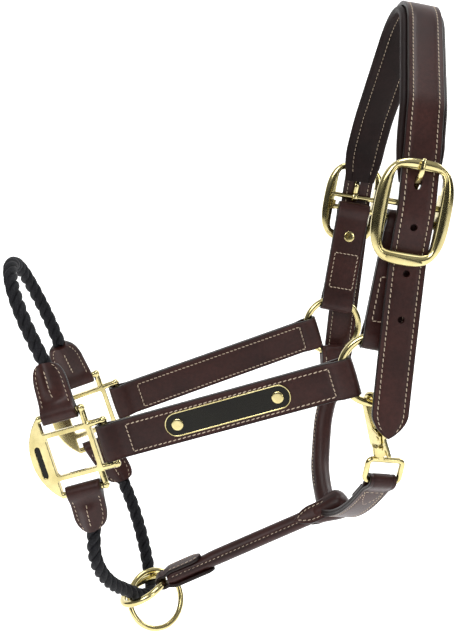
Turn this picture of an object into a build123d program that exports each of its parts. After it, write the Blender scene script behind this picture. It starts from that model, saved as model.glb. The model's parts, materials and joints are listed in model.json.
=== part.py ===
from build123d import *
from math import cos, pi, radians, sin, sqrt, tan
import os

# Leather headcollar, in millimetres. +Z is up, the nose points to -X, the horse's left (near) side is -Y.
# The origin is the middle of the crown's underside, where it rests on the poll.

# ---------------------------------------------------------------- driving dimensions
CROWN_LEAN = 9.7           # degrees the headpiece leans back, towards +X, as it rises
RING_DROP = 229.0          # cheek ring centre below the poll, measured along the headpiece
RING_HALF_GAP = 86.0       # cheek ring centre from the middle plane
CHEEK_DIP = 17.2           # degrees the cheek straps fall towards the nose
CHEEK_TOE_IN = 10.0        # degrees the cheek straps close in towards the nose
SQUARE_REACH = 206.0       # cheek ring centre to the middle of the halter square's window

STRAP_WIDTH = 25.0         # one inch leather throughout the lower part
PLY = 2.6                  # thickness of one layer of leather
CROWN_WIDTH = 23.0
CROWN_THICKNESS = 3.2
PAD_WIDTH = 29.5
PAD_THICKNESS = 5.0
SLACK = 0.5                # room between leather and the metal it is folded round
AIR = 0.35                 # room between parts that lie against each other

RING_WIRE = 5.0
RING_RADIUS = 21.5         # to the middle of the wire: 38 mm inside, 48 mm outside
ROPE = 10.0

# ---------------------------------------------------------------- directions and planes
ACROSS = Vector(cos(radians(CROWN_LEAN)), 0, -sin(radians(CROWN_LEAN)))
HEADPIECE = Plane(origin=(0, 0, 0), x_dir=(0, 1, 0), z_dir=ACROSS)

dip = radians(CHEEK_DIP)
toe_in = radians(CHEEK_TOE_IN)
FORWARD = Vector(-cos(dip) * cos(toe_in), cos(dip) * sin(toe_in), -sin(dip))
OUTWARD = Vector(-sin(toe_in), -cos(toe_in), 0)
UPWARD = FORWARD.cross(OUTWARD)
NEAR_RING = HEADPIECE.from_local_coords(Vector(-RING_HALF_GAP, -RING_DROP, 0))
CHEEK_FACE = Plane(origin=NEAR_RING, x_dir=FORWARD, z_dir=-OUTWARD)   # x forward, y up, z inward
CHEEK_EDGE = Plane(origin=NEAR_RING, x_dir=FORWARD, z_dir=UPWARD)     # x forward, y outward, z up

os.makedirs("parts", exist_ok=True)


def save(name, part):
    """Label one finished piece and write it as the node of that name."""
    part.label = name
    export_step(part, "parts/" + name + ".step")


def on_cheek(forward, up, outward=0.0):
    """A point given from the near ring's centre along the cheek's own directions."""
    return NEAR_RING + FORWARD * forward + UPWARD * up + OUTWARD * outward


def far(point):
    """The same point on the far side."""
    return Vector(point.X, -point.Y, point.Z)


def corner_radii(points, largest=1000.0):
    """For each corner, 0.45 of the shorter run divided by the tangent of half the turn."""
    radii = []
    for before, here, after in zip(points, points[1:], points[2:]):
        half_turn = radians((here - before).get_angle(after - here) / 2)
        run = min((here - before).length, (after - here).length)
        radii.append(min(0.45 * run / tan(half_turn), largest))
    return radii


def round_cord(route, diameter):
    """A tube of straight runs joined by tangent arcs."""
    with BuildPart() as cord:
        with BuildLine() as line:
            FilletPolyline(*route, radius=corner_radii(route))
        path = line.wire()
        with BuildSketch(Plane(origin=path @ 0, z_dir=path % 0)):
            Circle(diameter / 2)
        sweep(path=path)
    return cord.part, path.length


def rod(start, end, diameter):
    """A round bar between two points, for the builder block that is open."""
    along = end - start
    with Locations(Plane(origin=(start + end) * 0.5, z_dir=along)):
        Cylinder(diameter / 2, along.length)


def folded_outline(start, end, start_bar, end_bar, start_sag=0.0, end_sag=0.0):
    """Edge-on outline of two plies from start to end along X, folded round a bar at each end.

    A sag is how far the fold's hollow runs on past the bar, for the curve of a ring."""
    length = end - start
    with Locations(((start + end) / 2, 0)):
        Rectangle(length, 2 * PLY)
    for at, bar, sag, inward in ((start, start_bar, start_sag, 1), (end, end_bar, end_sag, -1)):
        hollow = bar + 2 * SLACK
        fold = hollow + 2 * PLY
        taper = [(at, fold / 2), (at + inward * 3 * PLY, PLY), (at + inward * 3 * PLY, -PLY), (at, -fold / 2)]
        Polygon(*taper, align=None)
        with Locations((at - inward * sag / 2, 0)):
            SlotOverall(fold + sag + 0.01, fold)
    for at, bar, sag, inward in ((start, start_bar, start_sag, 1), (end, end_bar, end_sag, -1)):
        hollow = bar + 2 * SLACK
        with Locations((at - inward * sag / 2, 0)):
            SlotOverall(hollow + sag + 0.01, hollow, mode=Mode.SUBTRACT)


# The wire of a cheek ring leaves a straight fold of STRAP_WIDTH by this much at the fold's edges.
RING_SAG = RING_RADIUS - sqrt(RING_RADIUS**2 - (STRAP_WIDTH / 2)**2)

# ---------------------------------------------------------------- cheek rings
RING_TOE_IN = 5.0          # the rings hang halfway between the headpiece and the cheek
RING_AXIS = Vector(-sin(radians(RING_TOE_IN)), -cos(radians(RING_TOE_IN)), 0)
FAR_RING = far(NEAR_RING)


def ring(centre, axis, radius, wire):
    """A round ring of round wire."""
    with BuildPart() as torus:
        with Locations(Plane(origin=centre, z_dir=axis)):
            Torus(radius, wire / 2)
    return torus.part


near_cheek_ring = ring(NEAR_RING, RING_AXIS, RING_RADIUS, RING_WIRE)
far_cheek_ring = ring(FAR_RING, far(RING_AXIS), RING_RADIUS, RING_WIRE)
near_ring_room = ring(NEAR_RING, RING_AXIS, RING_RADIUS, RING_WIRE + 2 * SLACK)
far_ring_room = ring(FAR_RING, far(RING_AXIS), RING_RADIUS, RING_WIRE + 2 * SLACK)

# ---------------------------------------------------------------- crown
# Heights are above the poll rest, along the headpiece; widths are from the middle plane.
BUCKLE_TOP_BAR = -101.0
BUCKLE_PIN = -125.0
BUCKLE_LEATHER_BAR = -134.5
BUCKLE_BOTTOM_BAR = -157.5
TAIL_TIP = -268.0
BUCKLE_OUT = 100.0         # plane of the buckle frame's middle
FRAME_THICKNESS = 5.5
PIN_OUT = 95.5
PIN_DIAMETER = 3.8
LEATHER_BAR_OUT = 89.5
LEATHER_BAR = 4.0
HOLE_PITCH = 28.0
FIRST_HOLE = -138.1        # the first punched hole below the buckle's pin
TONGUE_HOLE = -114.7
TONGUE_SLOT_TOP = -107.5   # the hole the tongue uses is pulled long, from here to beside the pin
TONGUE_SLOT_END = -129.5

crown_centre = PAD_THICKNESS + 2 * AIR + CROWN_THICKNESS / 2
under_bar = BUCKLE_OUT - FRAME_THICKNESS / 2 - AIR - CROWN_THICKNESS / 2
over_pin = PIN_OUT + PIN_DIAMETER / 2 + AIR + CROWN_THICKNESS / 2
ARCH_SHOULDERS = [(92.5, -89.0), (80.5, -62.5)]
ARCH_FLANK = 50.0          # degrees the flanks fall from level below the poll

peak_height = ARCH_SHOULDERS[-1][1] + ARCH_SHOULDERS[-1][0] * tan(radians(ARCH_FLANK))
peak_radius = (peak_height - crown_centre) / (1 / cos(radians(ARCH_FLANK)) - 1)
tail = [
    (under_bar + 5.0, TAIL_TIP),
    (under_bar + 1.2, BUCKLE_BOTTOM_BAR - 30),
    (under_bar - 0.2, BUCKLE_BOTTOM_BAR),
    (over_pin + 0.9, BUCKLE_PIN - 3),
    (under_bar - 0.2, BUCKLE_TOP_BAR),
]
arch = [(under_bar - 0.6, BUCKLE_TOP_BAR + 4.0)] + ARCH_SHOULDERS


def both_sides(points):
    """A route from the near side over the peak to the far side, from the points of one side."""
    near = [(-out, up) for out, up in points]
    return near + [(0, peak_height)] + [(out, up) for out, up in reversed(points)]


def inset(route, distance):
    """The same open route moved to its inner side, which is on the right of the way it runs."""
    directions = [(Vector(*b) - Vector(*a)).normalized() for a, b in zip(route, route[1:])]
    rights = [Vector(d.Y, -d.X) for d in directions]
    moved = [Vector(*route[0]) + rights[0] * distance]
    for here, before, after in zip(route[1:-1], rights, rights[1:]):
        middle = (before + after).normalized()
        moved.append(Vector(*here) + middle * (distance / middle.dot(before)))
    moved.append(Vector(*route[-1]) + rights[-1] * distance)
    return [(point.X, point.Y) for point in moved]


def crown_radii(route, peak, corner):
    """Small radii at the buckle's bends, a wide one at the poll."""
    radii = [min(r, corner) for r in corner_radii([Vector(*p) for p in route])]
    radii[len(radii) // 2] = peak
    return radii


strap_route = both_sides(tail + arch[1:])
with BuildPart() as crown_strap:
    with BuildSketch(HEADPIECE):
        with BuildLine():
            FilletPolyline(*strap_route, radius=crown_radii(strap_route, peak_radius, 45.0))
        trace(line_width=CROWN_THICKNESS)
    extrude(amount=CROWN_WIDTH / 2, both=True)
    # pointed tail ends
    for side in (-1, 1):
        tail_face = Plane(origin=HEADPIECE.from_local_coords(Vector(side * 90, TAIL_TIP, 0)),
                          x_dir=ACROSS, z_dir=(0, side, 0))
        with BuildSketch(tail_face):
            for edge in (-1, 1):
                up = 1 if side < 0 else -1
                Polygon((0, -0.5 * up), (edge * 14, -0.5 * up), (edge * 14, 17 * up), (edge * 7.5, 6.5 * up),
                        align=None)
        extrude(amount=20, mode=Mode.SUBTRACT)
    # punched holes, the uppermost one taken by the buckle's tongue
    for side in (-1, 1):
        for step in range(4):
            height = FIRST_HOLE - (step - 1) * HOLE_PITCH if step else (TONGUE_SLOT_TOP + TONGUE_SLOT_END) / 2
            hole_at = HEADPIECE.from_local_coords(Vector(side * 85, height, 0))
            with BuildSketch(Plane(origin=hole_at, x_dir=ACROSS, z_dir=(0, side, 0))):
                if step == 0:
                    SlotOverall(TONGUE_SLOT_TOP - TONGUE_SLOT_END, 5.6, rotation=90)
                else:
                    Circle(2.3)
            extrude(amount=20, mode=Mode.SUBTRACT)

pad_shift = (CROWN_THICKNESS + PAD_THICKNESS) / 2 + 2 * AIR
pad_route = inset(both_sides(arch), pad_shift)
pad_radii = crown_radii(pad_route, peak_radius - pad_shift, 45.0 - pad_shift)
with BuildPart() as crown_pad:
    with BuildSketch(HEADPIECE):
        with BuildLine():
            FilletPolyline(*pad_route, radius=pad_radii)
        trace(line_width=PAD_THICKNESS)
    extrude(amount=PAD_WIDTH / 2, both=True)

# ---------------------------------------------------------------- crown buckles
FRAME_WIDTH = 47.0
FRAME_SIDE = 8.0
FRAME_TOP = 6.5
FRAME_BOTTOM = 8.0
frame_high = BUCKLE_TOP_BAR + FRAME_TOP / 2
frame_low = BUCKLE_BOTTOM_BAR - FRAME_BOTTOM / 2
frame_middle = (frame_high + frame_low) / 2
window_height = frame_high - frame_low - FRAME_TOP - FRAME_BOTTOM
window_middle = (frame_high - FRAME_TOP + frame_low + FRAME_BOTTOM) / 2
window_width = FRAME_WIDTH - 2 * FRAME_SIDE


def near_side_plane(height, out):
    """Plane facing outwards on the near side: x forwards, y up the headpiece."""
    return Plane(origin=HEADPIECE.from_local_coords(Vector(-out, height, 0)), x_dir=-ACROSS, z_dir=(0, 1, 0))


with BuildPart() as near_buckle_frame:
    with BuildSketch(near_side_plane(frame_middle, BUCKLE_OUT + FRAME_THICKNESS / 2)):
        RectangleRounded(FRAME_WIDTH, frame_high - frame_low, 15)
        with Locations((0, window_middle - frame_middle)):
            RectangleRounded(window_width, window_height, 6.5, mode=Mode.SUBTRACT)
    extrude(amount=FRAME_THICKNESS)
    rims = near_buckle_frame.faces().filter_by(Axis.Y)
    fillet(rims.edges(), 2.0)
    # plain sunk panel in the bottom bar
    with BuildSketch(near_side_plane(BUCKLE_BOTTOM_BAR, BUCKLE_OUT + FRAME_THICKNESS / 2)):
        SlotOverall(23, 4.2)
    extrude(amount=0.9, mode=Mode.SUBTRACT)
    # ears on the inner face carry the tongue pin and the leather bar
    for edge in (-1, 1):
        ear = Plane(origin=HEADPIECE.from_local_coords(Vector(0, 0, edge * (window_width / 2 + 2.0))),
                    x_dir=(0, 1, 0), z_dir=ACROSS)
        with BuildSketch(ear):
            Polygon((-BUCKLE_OUT, BUCKLE_PIN + 6), (-PIN_OUT + 3, BUCKLE_PIN + 3),
                    (-LEATHER_BAR_OUT + 3.2, BUCKLE_LEATHER_BAR + 2),
                    (-LEATHER_BAR_OUT + 3.2, BUCKLE_LEATHER_BAR - 3),
                    (-BUCKLE_OUT, BUCKLE_LEATHER_BAR - 8), align=None)
        extrude(amount=1.5, both=True)
    with BuildSketch(HEADPIECE):
        with Locations((-LEATHER_BAR_OUT, BUCKLE_LEATHER_BAR)):
            Circle(LEATHER_BAR / 2)
    extrude(amount=window_width / 2 + 1, both=True)
    with BuildSketch(HEADPIECE):
        with Locations((-PIN_OUT, BUCKLE_PIN)):
            Circle(PIN_DIAMETER / 2)
    extrude(amount=window_width / 2 + 4, both=True, mode=Mode.SUBTRACT)

with BuildPart() as near_tongue_pin:
    with BuildSketch(HEADPIECE):
        with Locations((-PIN_OUT, BUCKLE_PIN)):
            Circle(PIN_DIAMETER / 2)
    extrude(amount=window_width / 2 + 3.5, both=True)

TONGUE = 3.0
tongue_rest = BUCKLE_OUT + FRAME_THICKNESS / 2 + AIR + TONGUE / 2
with BuildPart() as near_buckle_tongue:
    with BuildSketch(HEADPIECE):
        with BuildLine():
            FilletPolyline((-PIN_OUT - 0.8, BUCKLE_PIN + 2.6), (-PIN_OUT + 0.2, TONGUE_HOLE - 3.0),
                           (-tongue_rest, TONGUE_HOLE + 6.4), (-tongue_rest, BUCKLE_TOP_BAR + 2.6),
                           radius=3.0)
        trace(line_width=TONGUE)
        with Locations((-PIN_OUT, BUCKLE_PIN)):
            Circle(PIN_DIAMETER / 2 + 1.7)
            Circle(PIN_DIAMETER / 2 + 0.08, mode=Mode.SUBTRACT)
    extrude(amount=2.0, both=True)

# ---------------------------------------------------------------- billets, from buckle to ring
leather_bar_at = HEADPIECE.from_local_coords(Vector(-LEATHER_BAR_OUT, BUCKLE_LEATHER_BAR, 0))
ring_top_at = HEADPIECE.from_local_coords(Vector(-RING_HALF_GAP, -RING_DROP + RING_RADIUS, 0))
billet_length = (leather_bar_at - ring_top_at).length
BILLET_EDGE = Plane(origin=leather_bar_at, x_dir=ring_top_at - leather_bar_at, z_dir=ACROSS)
RIVET_DOWN = 22.0
RIVET_SHANK = 3.0
RIVET_HEAD = 8.5
RIVET_HEAD_HEIGHT = 1.1

with BuildPart() as near_billet:
    with BuildSketch(BILLET_EDGE):
        folded_outline(0, billet_length, LEATHER_BAR, RING_WIRE, 0.0, RING_SAG)
    extrude(amount=STRAP_WIDTH / 2, both=True)
    with BuildSketch(Plane(origin=leather_bar_at, x_dir=BILLET_EDGE.x_dir, z_dir=BILLET_EDGE.y_dir)):
        with Locations((RIVET_DOWN, 0)):
            Circle(RIVET_SHANK / 2)
    extrude(amount=10, both=True, mode=Mode.SUBTRACT)
    add(near_ring_room, mode=Mode.SUBTRACT)

rivet_middle = BILLET_EDGE.from_local_coords(Vector(RIVET_DOWN, 0, 0))
RIVET_PLANE = Plane(origin=rivet_middle, x_dir=BILLET_EDGE.x_dir, z_dir=BILLET_EDGE.y_dir)
with BuildPart() as near_billet_rivet:
    with BuildSketch(RIVET_PLANE):
        Circle(RIVET_SHANK / 2)
    extrude(amount=PLY + 0.4, both=True)
    for side in (-1, 1):
        with BuildSketch(RIVET_PLANE.offset(side * PLY)):
            Circle(RIVET_HEAD / 2)
        extrude(amount=side * RIVET_HEAD_HEIGHT)
    fillet(near_billet_rivet.edges().filter_by(GeomType.CIRCLE).sort_by(Axis.Y)[0], 0.7)


# ---------------------------------------------------------------- halter squares
# Drawn in the cheek's face plane from the window's middle: x towards the ring, y up.
WINDOW_WIDTH = 29.0
WINDOW_HEIGHT = 26.5
WINDOW_BAR = 3.4
LOOP_REACH = 27.0          # window middle to the bar that each strap is folded round
LOOP_BAR = 4.4
SQUARE_THICKNESS = 4.4
PLATE_BULGE = 28.5
PLATE_TIP = 29.0
PLATE_INNER = 15.2

SQUARE = Plane(origin=on_cheek(SQUARE_REACH, 0), x_dir=-FORWARD, z_dir=OUTWARD)


def square_point(rearward, up, outward=0.0):
    """A point given from the middle of the near square's window."""
    return on_cheek(SQUARE_REACH - rearward, up, outward)


with BuildPart() as near_halter_square:
    with BuildSketch(SQUARE.offset(-SQUARE_THICKNESS / 2)):
        RectangleRounded(WINDOW_WIDTH + 2 * WINDOW_BAR, WINDOW_HEIGHT + 2 * WINDOW_BAR, 3)
        with BuildLine():
            ThreePointArc((-PLATE_INNER, -PLATE_TIP), (-PLATE_BULGE, 0), (-PLATE_INNER, PLATE_TIP))
            Line((-PLATE_INNER, PLATE_TIP), (-PLATE_INNER, -PLATE_TIP))
        make_face()
        RectangleRounded(WINDOW_WIDTH, WINDOW_HEIGHT, 2.0, mode=Mode.SUBTRACT)
    extrude(amount=SQUARE_THICKNESS)
    # loops that the straps are folded round: bar, posts and their rounded ends
    reach = LOOP_REACH
    side = STRAP_WIDTH / 2 + SLACK + LOOP_BAR / 2
    rod(square_point(-side, reach), square_point(side, reach), LOOP_BAR)
    rod(square_point(-side, -reach), square_point(side, -reach), LOOP_BAR)
    rod(square_point(reach, -side), square_point(reach, side), LOOP_BAR)
    rod(square_point(side, WINDOW_HEIGHT / 2 + 1), square_point(side, reach), LOOP_BAR)
    rod(square_point(side, -WINDOW_HEIGHT / 2 - 1), square_point(side, -reach), LOOP_BAR)
    rod(square_point(WINDOW_WIDTH / 2 + 1, side), square_point(reach, side), LOOP_BAR)
    rod(square_point(WINDOW_WIDTH / 2 + 1, -side), square_point(reach, -side), LOOP_BAR)
    for knob in (square_point(side, reach), square_point(side, -reach), square_point(reach, side),
                 square_point(reach, -side)):
        with Locations(Location(knob)):
            Sphere(LOOP_BAR / 2 + 0.5)
    for knob in (square_point(-side, reach), square_point(-side, -reach)):
        with Locations(Location(knob)):
            Sphere(LOOP_BAR / 2)
    # plain sunk panel in the front plate
    with BuildSketch(SQUARE.offset(SQUARE_THICKNESS / 2)):
        with Locations((-22.0, -1.5)):
            SlotOverall(22, 3.6, rotation=90)
    extrude(amount=-1.0, mode=Mode.SUBTRACT)

# ---------------------------------------------------------------- cheek straps
with BuildPart() as near_cheek_strap:
    with BuildSketch(CHEEK_EDGE):
        folded_outline(RING_RADIUS, SQUARE_REACH - LOOP_REACH, RING_WIRE, LOOP_BAR, RING_SAG, 1.5)
    extrude(amount=STRAP_WIDTH / 2, both=True)
    add(near_ring_room, mode=Mode.SUBTRACT)

PLATE_FROM = 55.0
PLATE_TO = 139.5
PLATE_WIDTH = 16.0
NAME_PLATE_THICKNESS = 1.0
PLATE_RIVET_INSET = 8.5
PLATE_RIVET_HEAD = 8.0
plate_face = CHEEK_FACE.offset(-PLY)
plate_middle = (PLATE_FROM + PLATE_TO) / 2
rivet_span = (PLATE_TO - PLATE_FROM) - 2 * PLATE_RIVET_INSET
with BuildPart() as name_plate:
    with BuildSketch(plate_face):
        with Locations((plate_middle, 0)):
            SlotOverall(PLATE_TO - PLATE_FROM, PLATE_WIDTH)
            with GridLocations(rivet_span, 1, 2, 1):
                Circle(RIVET_SHANK / 2, mode=Mode.SUBTRACT)
    extrude(amount=-NAME_PLATE_THICKNESS)

with BuildPart() as name_plate_rivets:
    with BuildSketch(plate_face.offset(2.0)):
        with Locations((plate_middle, 0)):
            with GridLocations(rivet_span, 1, 2, 1):
                Circle(RIVET_SHANK / 2)
    extrude(amount=-2.0 - NAME_PLATE_THICKNESS)
    with BuildSketch(plate_face.offset(-NAME_PLATE_THICKNESS)):
        with Locations((plate_middle, 0)):
            with GridLocations(rivet_span, 1, 2, 1):
                Circle(PLATE_RIVET_HEAD / 2)
    extrude(amount=-RIVET_HEAD_HEIGHT)
with BuildPart() as rivet_bores:
    with BuildSketch(plate_face.offset(2.0)):
        with Locations((plate_middle, 0)):
            with GridLocations(rivet_span, 1, 2, 1):
                Circle(RIVET_SHANK / 2)
    extrude(amount=-2.0)
with BuildPart() as near_cheek_strap_riveted:
    add(near_cheek_strap.part)
    add(rivet_bores.part, mode=Mode.SUBTRACT)

# ---------------------------------------------------------------- rope-end tabs
TAB_WIDTH = 25.0
TAB_TIP_WIDTH = 15.0
TAB_FOLD = LOOP_BAR / 2 + SLACK + PLY
TAB_BULK = 12.5            # thickness where the rope's end is inside


def rope_tab(bar, tip, across):
    """A leather tab folded round its bar, reaching to the tip where the rope comes out."""
    out = tip - bar
    skew = out.dot(across)
    along = (out - across * skew).normalized()
    length = out.dot(along)
    with BuildPart() as tab:
        with BuildSketch(Plane(origin=bar, x_dir=along, z_dir=across)):
            SlotOverall(2 * TAB_FOLD + 3, 2 * TAB_FOLD)
            Polygon((0, TAB_FOLD), (length * 0.55, TAB_BULK / 2), (length, TAB_BULK / 2 - 0.4),
                    (length, -TAB_BULK / 2 + 0.4), (length * 0.55, -TAB_BULK / 2), (0, -TAB_FOLD), align=None)
            SlotOverall(LOOP_BAR + 2 * SLACK + 3, LOOP_BAR + 2 * SLACK, mode=Mode.SUBTRACT)
        extrude(amount=TAB_WIDTH, both=True)
        lean = skew if across.cross(along).dot(across) >= 0 else -skew
        with BuildSketch(Plane(origin=bar, x_dir=along, z_dir=along.cross(across))):
            Polygon((-10, -TAB_WIDTH / 2), (0, -TAB_WIDTH / 2),
                    (length * 0.6, lean * 0.6 - TAB_WIDTH / 2 + 0.6),
                    (length, lean - TAB_TIP_WIDTH / 2), (length, lean + TAB_TIP_WIDTH / 2),
                    (length * 0.6, lean * 0.6 + TAB_WIDTH / 2 - 0.6),
                    (0, TAB_WIDTH / 2), (-10, TAB_WIDTH / 2), align=None)
        extrude(amount=30, both=True, mode=Mode.INTERSECT)
    return tab.part


NOSE_TIP = Vector(-250.5, -36.5, -231.0)
NEAR_CHIN_TIP = Vector(-219.5, -48.0, -340.5)
FAR_CHIN_TIP = Vector(-207.0, 50.0, -340.5)
nose_bar = square_point(0, LOOP_REACH)
chin_bar = square_point(0, -LOOP_REACH)
far_across = Vector(FORWARD.X, -FORWARD.Y, FORWARD.Z)

near_nose_tab = rope_tab(nose_bar, NOSE_TIP, FORWARD)
near_chin_tab = rope_tab(chin_bar, NEAR_CHIN_TIP, FORWARD)
far_chin_tab = rope_tab(far(chin_bar), FAR_CHIN_TIP, far_across)

# ---------------------------------------------------------------- ropes
NOSE_ROUTE_HALF = [
    NOSE_TIP,
    Vector(-257.0, -40.5, -215.0),
    Vector(-265.5, -38.5, -195.5),
    Vector(-272.5, -29.5, -178.0),
    Vector(-276.5, -12.5, -166.5),
]
NOSE_ROUTE = NOSE_ROUTE_HALF + [far(p) for p in reversed(NOSE_ROUTE_HALF)]
CHIN_ROUTE = [
    NEAR_CHIN_TIP,
    Vector(-220.5, -49.5, -355.5),
    Vector(-217.5, -44.0, -372.5),
    Vector(-210.0, -32.0, -389.0),
    Vector(-200.5, -14.0, -402.0),
    Vector(-191.0, -2.5, -412.5),
    Vector(-183.5, 13.0, -416.5),
    Vector(-185.5, 27.0, -412.0),
    Vector(-188.0, 33.5, -399.0),
    Vector(-191.5, 39.0, -384.0),
    Vector(-197.0, 46.0, -366.0),
    Vector(-202.5, 50.5, -352.0),
    FAR_CHIN_TIP,
]
nose_rope, nose_rope_length = round_cord(NOSE_ROUTE, ROPE)
chin_rope, chin_rope_length = round_cord(CHIN_ROUTE, ROPE)
for words, rope, rope_length, route in (("nose rope", nose_rope, nose_rope_length, NOSE_ROUTE),
                                        ("chin rope", chin_rope, chin_rope_length, CHIN_ROUTE)):
    section_volume = pi * (ROPE / 2)**2 * rope_length
    print(words, "length", round(rope_length, 1), "volume ratio", round(rope.volume / section_volume, 4))
    print("  radii", [round(r, 1) for r in corner_radii(route)])

# ---------------------------------------------------------------- chin ring and lead ring
CHIN_RING_RADIUS = 16.5
CHIN_RING_WIRE = 5.0
CHIN_RING_TILT = 26.6
CHIN_RING = Vector(-189.6, 0, -408.7)
uphill = Vector(cos(radians(CHIN_RING_TILT)), 0, sin(radians(CHIN_RING_TILT)))
chin_ring_axis = Vector(-uphill.Z, 0, uphill.X)
chin_ring = ring(CHIN_RING, chin_ring_axis, CHIN_RING_RADIUS, CHIN_RING_WIRE)

LEAD_RING_RADIUS = 21.0
LEAD_RING_WIRE = 4.2
LEAD_RING = Vector(-180.75, 8.57, -420.12)
LEAD_RING_AXIS = Vector(-0.4549, 0.7838, -0.4229)
lead_ring = ring(LEAD_RING, LEAD_RING_AXIS, LEAD_RING_RADIUS, LEAD_RING_WIRE)

# ---------------------------------------------------------------- chin strap
CHIN_STRAP_ROUND = 11.5
CHIN_STRAP_FOLD_WIDTH = 10.0
CHIN_STRAP_END = Vector(-62.0, 0, -352.0)
chin_bar_at = CHIN_RING + uphill * CHIN_RING_RADIUS
strap_line = CHIN_STRAP_END - chin_bar_at
chin_sag = CHIN_RING_RADIUS - sqrt(CHIN_RING_RADIUS**2 - (CHIN_STRAP_FOLD_WIDTH / 2)**2)
chin_edge = Plane(origin=chin_bar_at, x_dir=strap_line, z_dir=(0, 1, 0))
roll_start = 11.0
taper_end = 18.0
with BuildPart() as chin_strap:
    with BuildSketch(chin_edge):
        fold_hollow = CHIN_RING_WIRE + 2 * SLACK
        with Locations((-chin_sag / 2, 0)):
            SlotOverall(fold_hollow + chin_sag + 2 * PLY, fold_hollow + 2 * PLY)
        Polygon((0, fold_hollow / 2 + PLY), (taper_end, CHIN_STRAP_ROUND / 2 - 0.8),
                (taper_end, -CHIN_STRAP_ROUND / 2 + 0.8), (0, -fold_hollow / 2 - PLY), align=None)
        with Locations((-chin_sag / 2, 0)):
            SlotOverall(fold_hollow + chin_sag, fold_hollow, mode=Mode.SUBTRACT)
    extrude(amount=CHIN_STRAP_FOLD_WIDTH / 2, both=True)
    with BuildSketch(Plane(origin=chin_bar_at + strap_line.normalized() * roll_start, z_dir=strap_line)):
        Circle(CHIN_STRAP_ROUND / 2)
    extrude(amount=strap_line.length - roll_start)

# ---------------------------------------------------------------- throat: wrap, rolled half and flat half
THROAT_FLAT_WIDTH = 18.5
THROAT_FLAT = 4.6
THROAT_ROLL = 14.0
ROLL_TOP_WIDTH = 18.0
WRAP_LENGTH = 27.0
wrap_end = CHIN_STRAP_END + strap_line.normalized() * WRAP_LENGTH
with BuildPart() as chin_strap_wrap:
    with BuildSketch(Plane(origin=CHIN_STRAP_END, x_dir=(0, 1, 0), z_dir=strap_line)):
        RectangleRounded(15, 13, 5.5)
    with BuildSketch(Plane(origin=wrap_end, x_dir=(0, 1, 0), z_dir=strap_line)):
        RectangleRounded(21, 21, 8)
    loft()

snap_eye_bar = Vector(-30.5, -74.0, -302.0)
flat_start = Vector(-50.5, -11.0, -347.5)
flat_run = snap_eye_bar - flat_start
flat_across = Vector(1, 0, 0) - flat_run.normalized() * flat_run.normalized().X
FLAT_EDGE = Plane(origin=flat_start, x_dir=flat_run, z_dir=flat_across)
EYE_WIRE = 3.8
flat_length = flat_run.length
with BuildPart() as throat_strap:
    with BuildSketch(FLAT_EDGE):
        with BuildLine():
            FilletPolyline((1, 0), (flat_length * 0.3, -7), (flat_length * 0.7, -6), (flat_length - 12, -1),
                           (flat_length - 1, 0), radius=12)
        trace(line_width=THROAT_FLAT)
        with Locations((flat_length, 0)):
            Circle(EYE_WIRE / 2 + SLACK + 2.2)
        with Locations((flat_length, 0)):
            Circle(EYE_WIRE / 2 + SLACK, mode=Mode.SUBTRACT)
    extrude(amount=THROAT_FLAT_WIDTH / 2, both=True)
    add(chin_strap_wrap.part, mode=Mode.SUBTRACT)

TOP_BEHIND = radians(5)    # the roll's flat top hangs this far behind the ring's lowest point
ring_level = far(RING_AXIS.cross(Vector(0, 0, 1)))
ring_drop = Vector(0, 0, -RING_RADIUS * cos(TOP_BEHIND)) - ring_level * (RING_RADIUS * sin(TOP_BEHIND))
far_ring_bottom = FAR_RING + ring_drop
ROLL_TOP = far_ring_bottom + Vector(0.5, -4.5, -20.0)
ROLL_ROUTE = [
    Vector(-52.0, 5.0, -346.0),
    Vector(-55.0, 26.0, -333.5),
    Vector(-52.0, 48.0, -313.0),
    Vector(-47.5, 64.0, -288.0),
    ROLL_TOP,
]
roll, roll_length = round_cord(ROLL_ROUTE, THROAT_ROLL)
with BuildPart() as throat_roll:
    add(roll)
    top_run = far_ring_bottom - ROLL_TOP
    with BuildSketch(Plane(origin=far_ring_bottom, x_dir=-top_run, z_dir=ring_level)):
        hollow = RING_WIRE + 2 * SLACK
        sag = RING_SAG * 1.3
        with Locations((-sag / 2, 0)):
            SlotOverall(hollow + sag + 2 * PLY, hollow + 2 * PLY)
        Polygon((0, hollow / 2 + PLY), (top_run.length + 4, PLY), (top_run.length + 4, -PLY),
                (0, -hollow / 2 - PLY), align=None)
        with Locations((-sag / 2, 0)):
            SlotOverall(hollow + sag, hollow, mode=Mode.SUBTRACT)
    extrude(amount=ROLL_TOP_WIDTH / 2, both=True)
    add(far_ring_room, mode=Mode.SUBTRACT)
    add(chin_strap_wrap.part, mode=Mode.SUBTRACT)

# ---------------------------------------------------------------- snap hook on the near ring
HOOK_RADIUS = 8.2
HOOK_WIRE = 4.4
SNAP_THICKNESS = 5.4
GATE_THICKNESS = 2.4
SNAP_PIN = 2.4
hook_at = NEAR_RING - Vector(0, 0, RING_RADIUS + 2.6)
eye_top = Vector(-31.5, -76.5, -287.0)
snap_up = (hook_at - eye_top).normalized()
snap_length = (eye_top - hook_at).length
snap_facing = (FORWARD * 1.7 + OUTWARD).normalized()
snap_rear = snap_facing.cross(snap_up).normalized()
snap_rear = snap_rear if snap_rear.X > 0 else snap_rear * -1
SNAP = Plane(origin=hook_at, x_dir=snap_rear, z_dir=snap_rear.cross(snap_up))   # x rearward, y up the snap
BARREL_TOP = 11.5 - snap_length
BARREL_END = 4.2 - snap_length
GATE_PIVOT = (3.2, -20.5)
GATE_TIP = (HOOK_RADIUS - 0.6, -4.4)


def across_snap(height):
    """Plane square to the snap's length, facing down it."""
    return Plane(origin=SNAP.from_local_coords(Vector(0, height, 0)), x_dir=SNAP.x_dir, z_dir=-snap_up)


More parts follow.
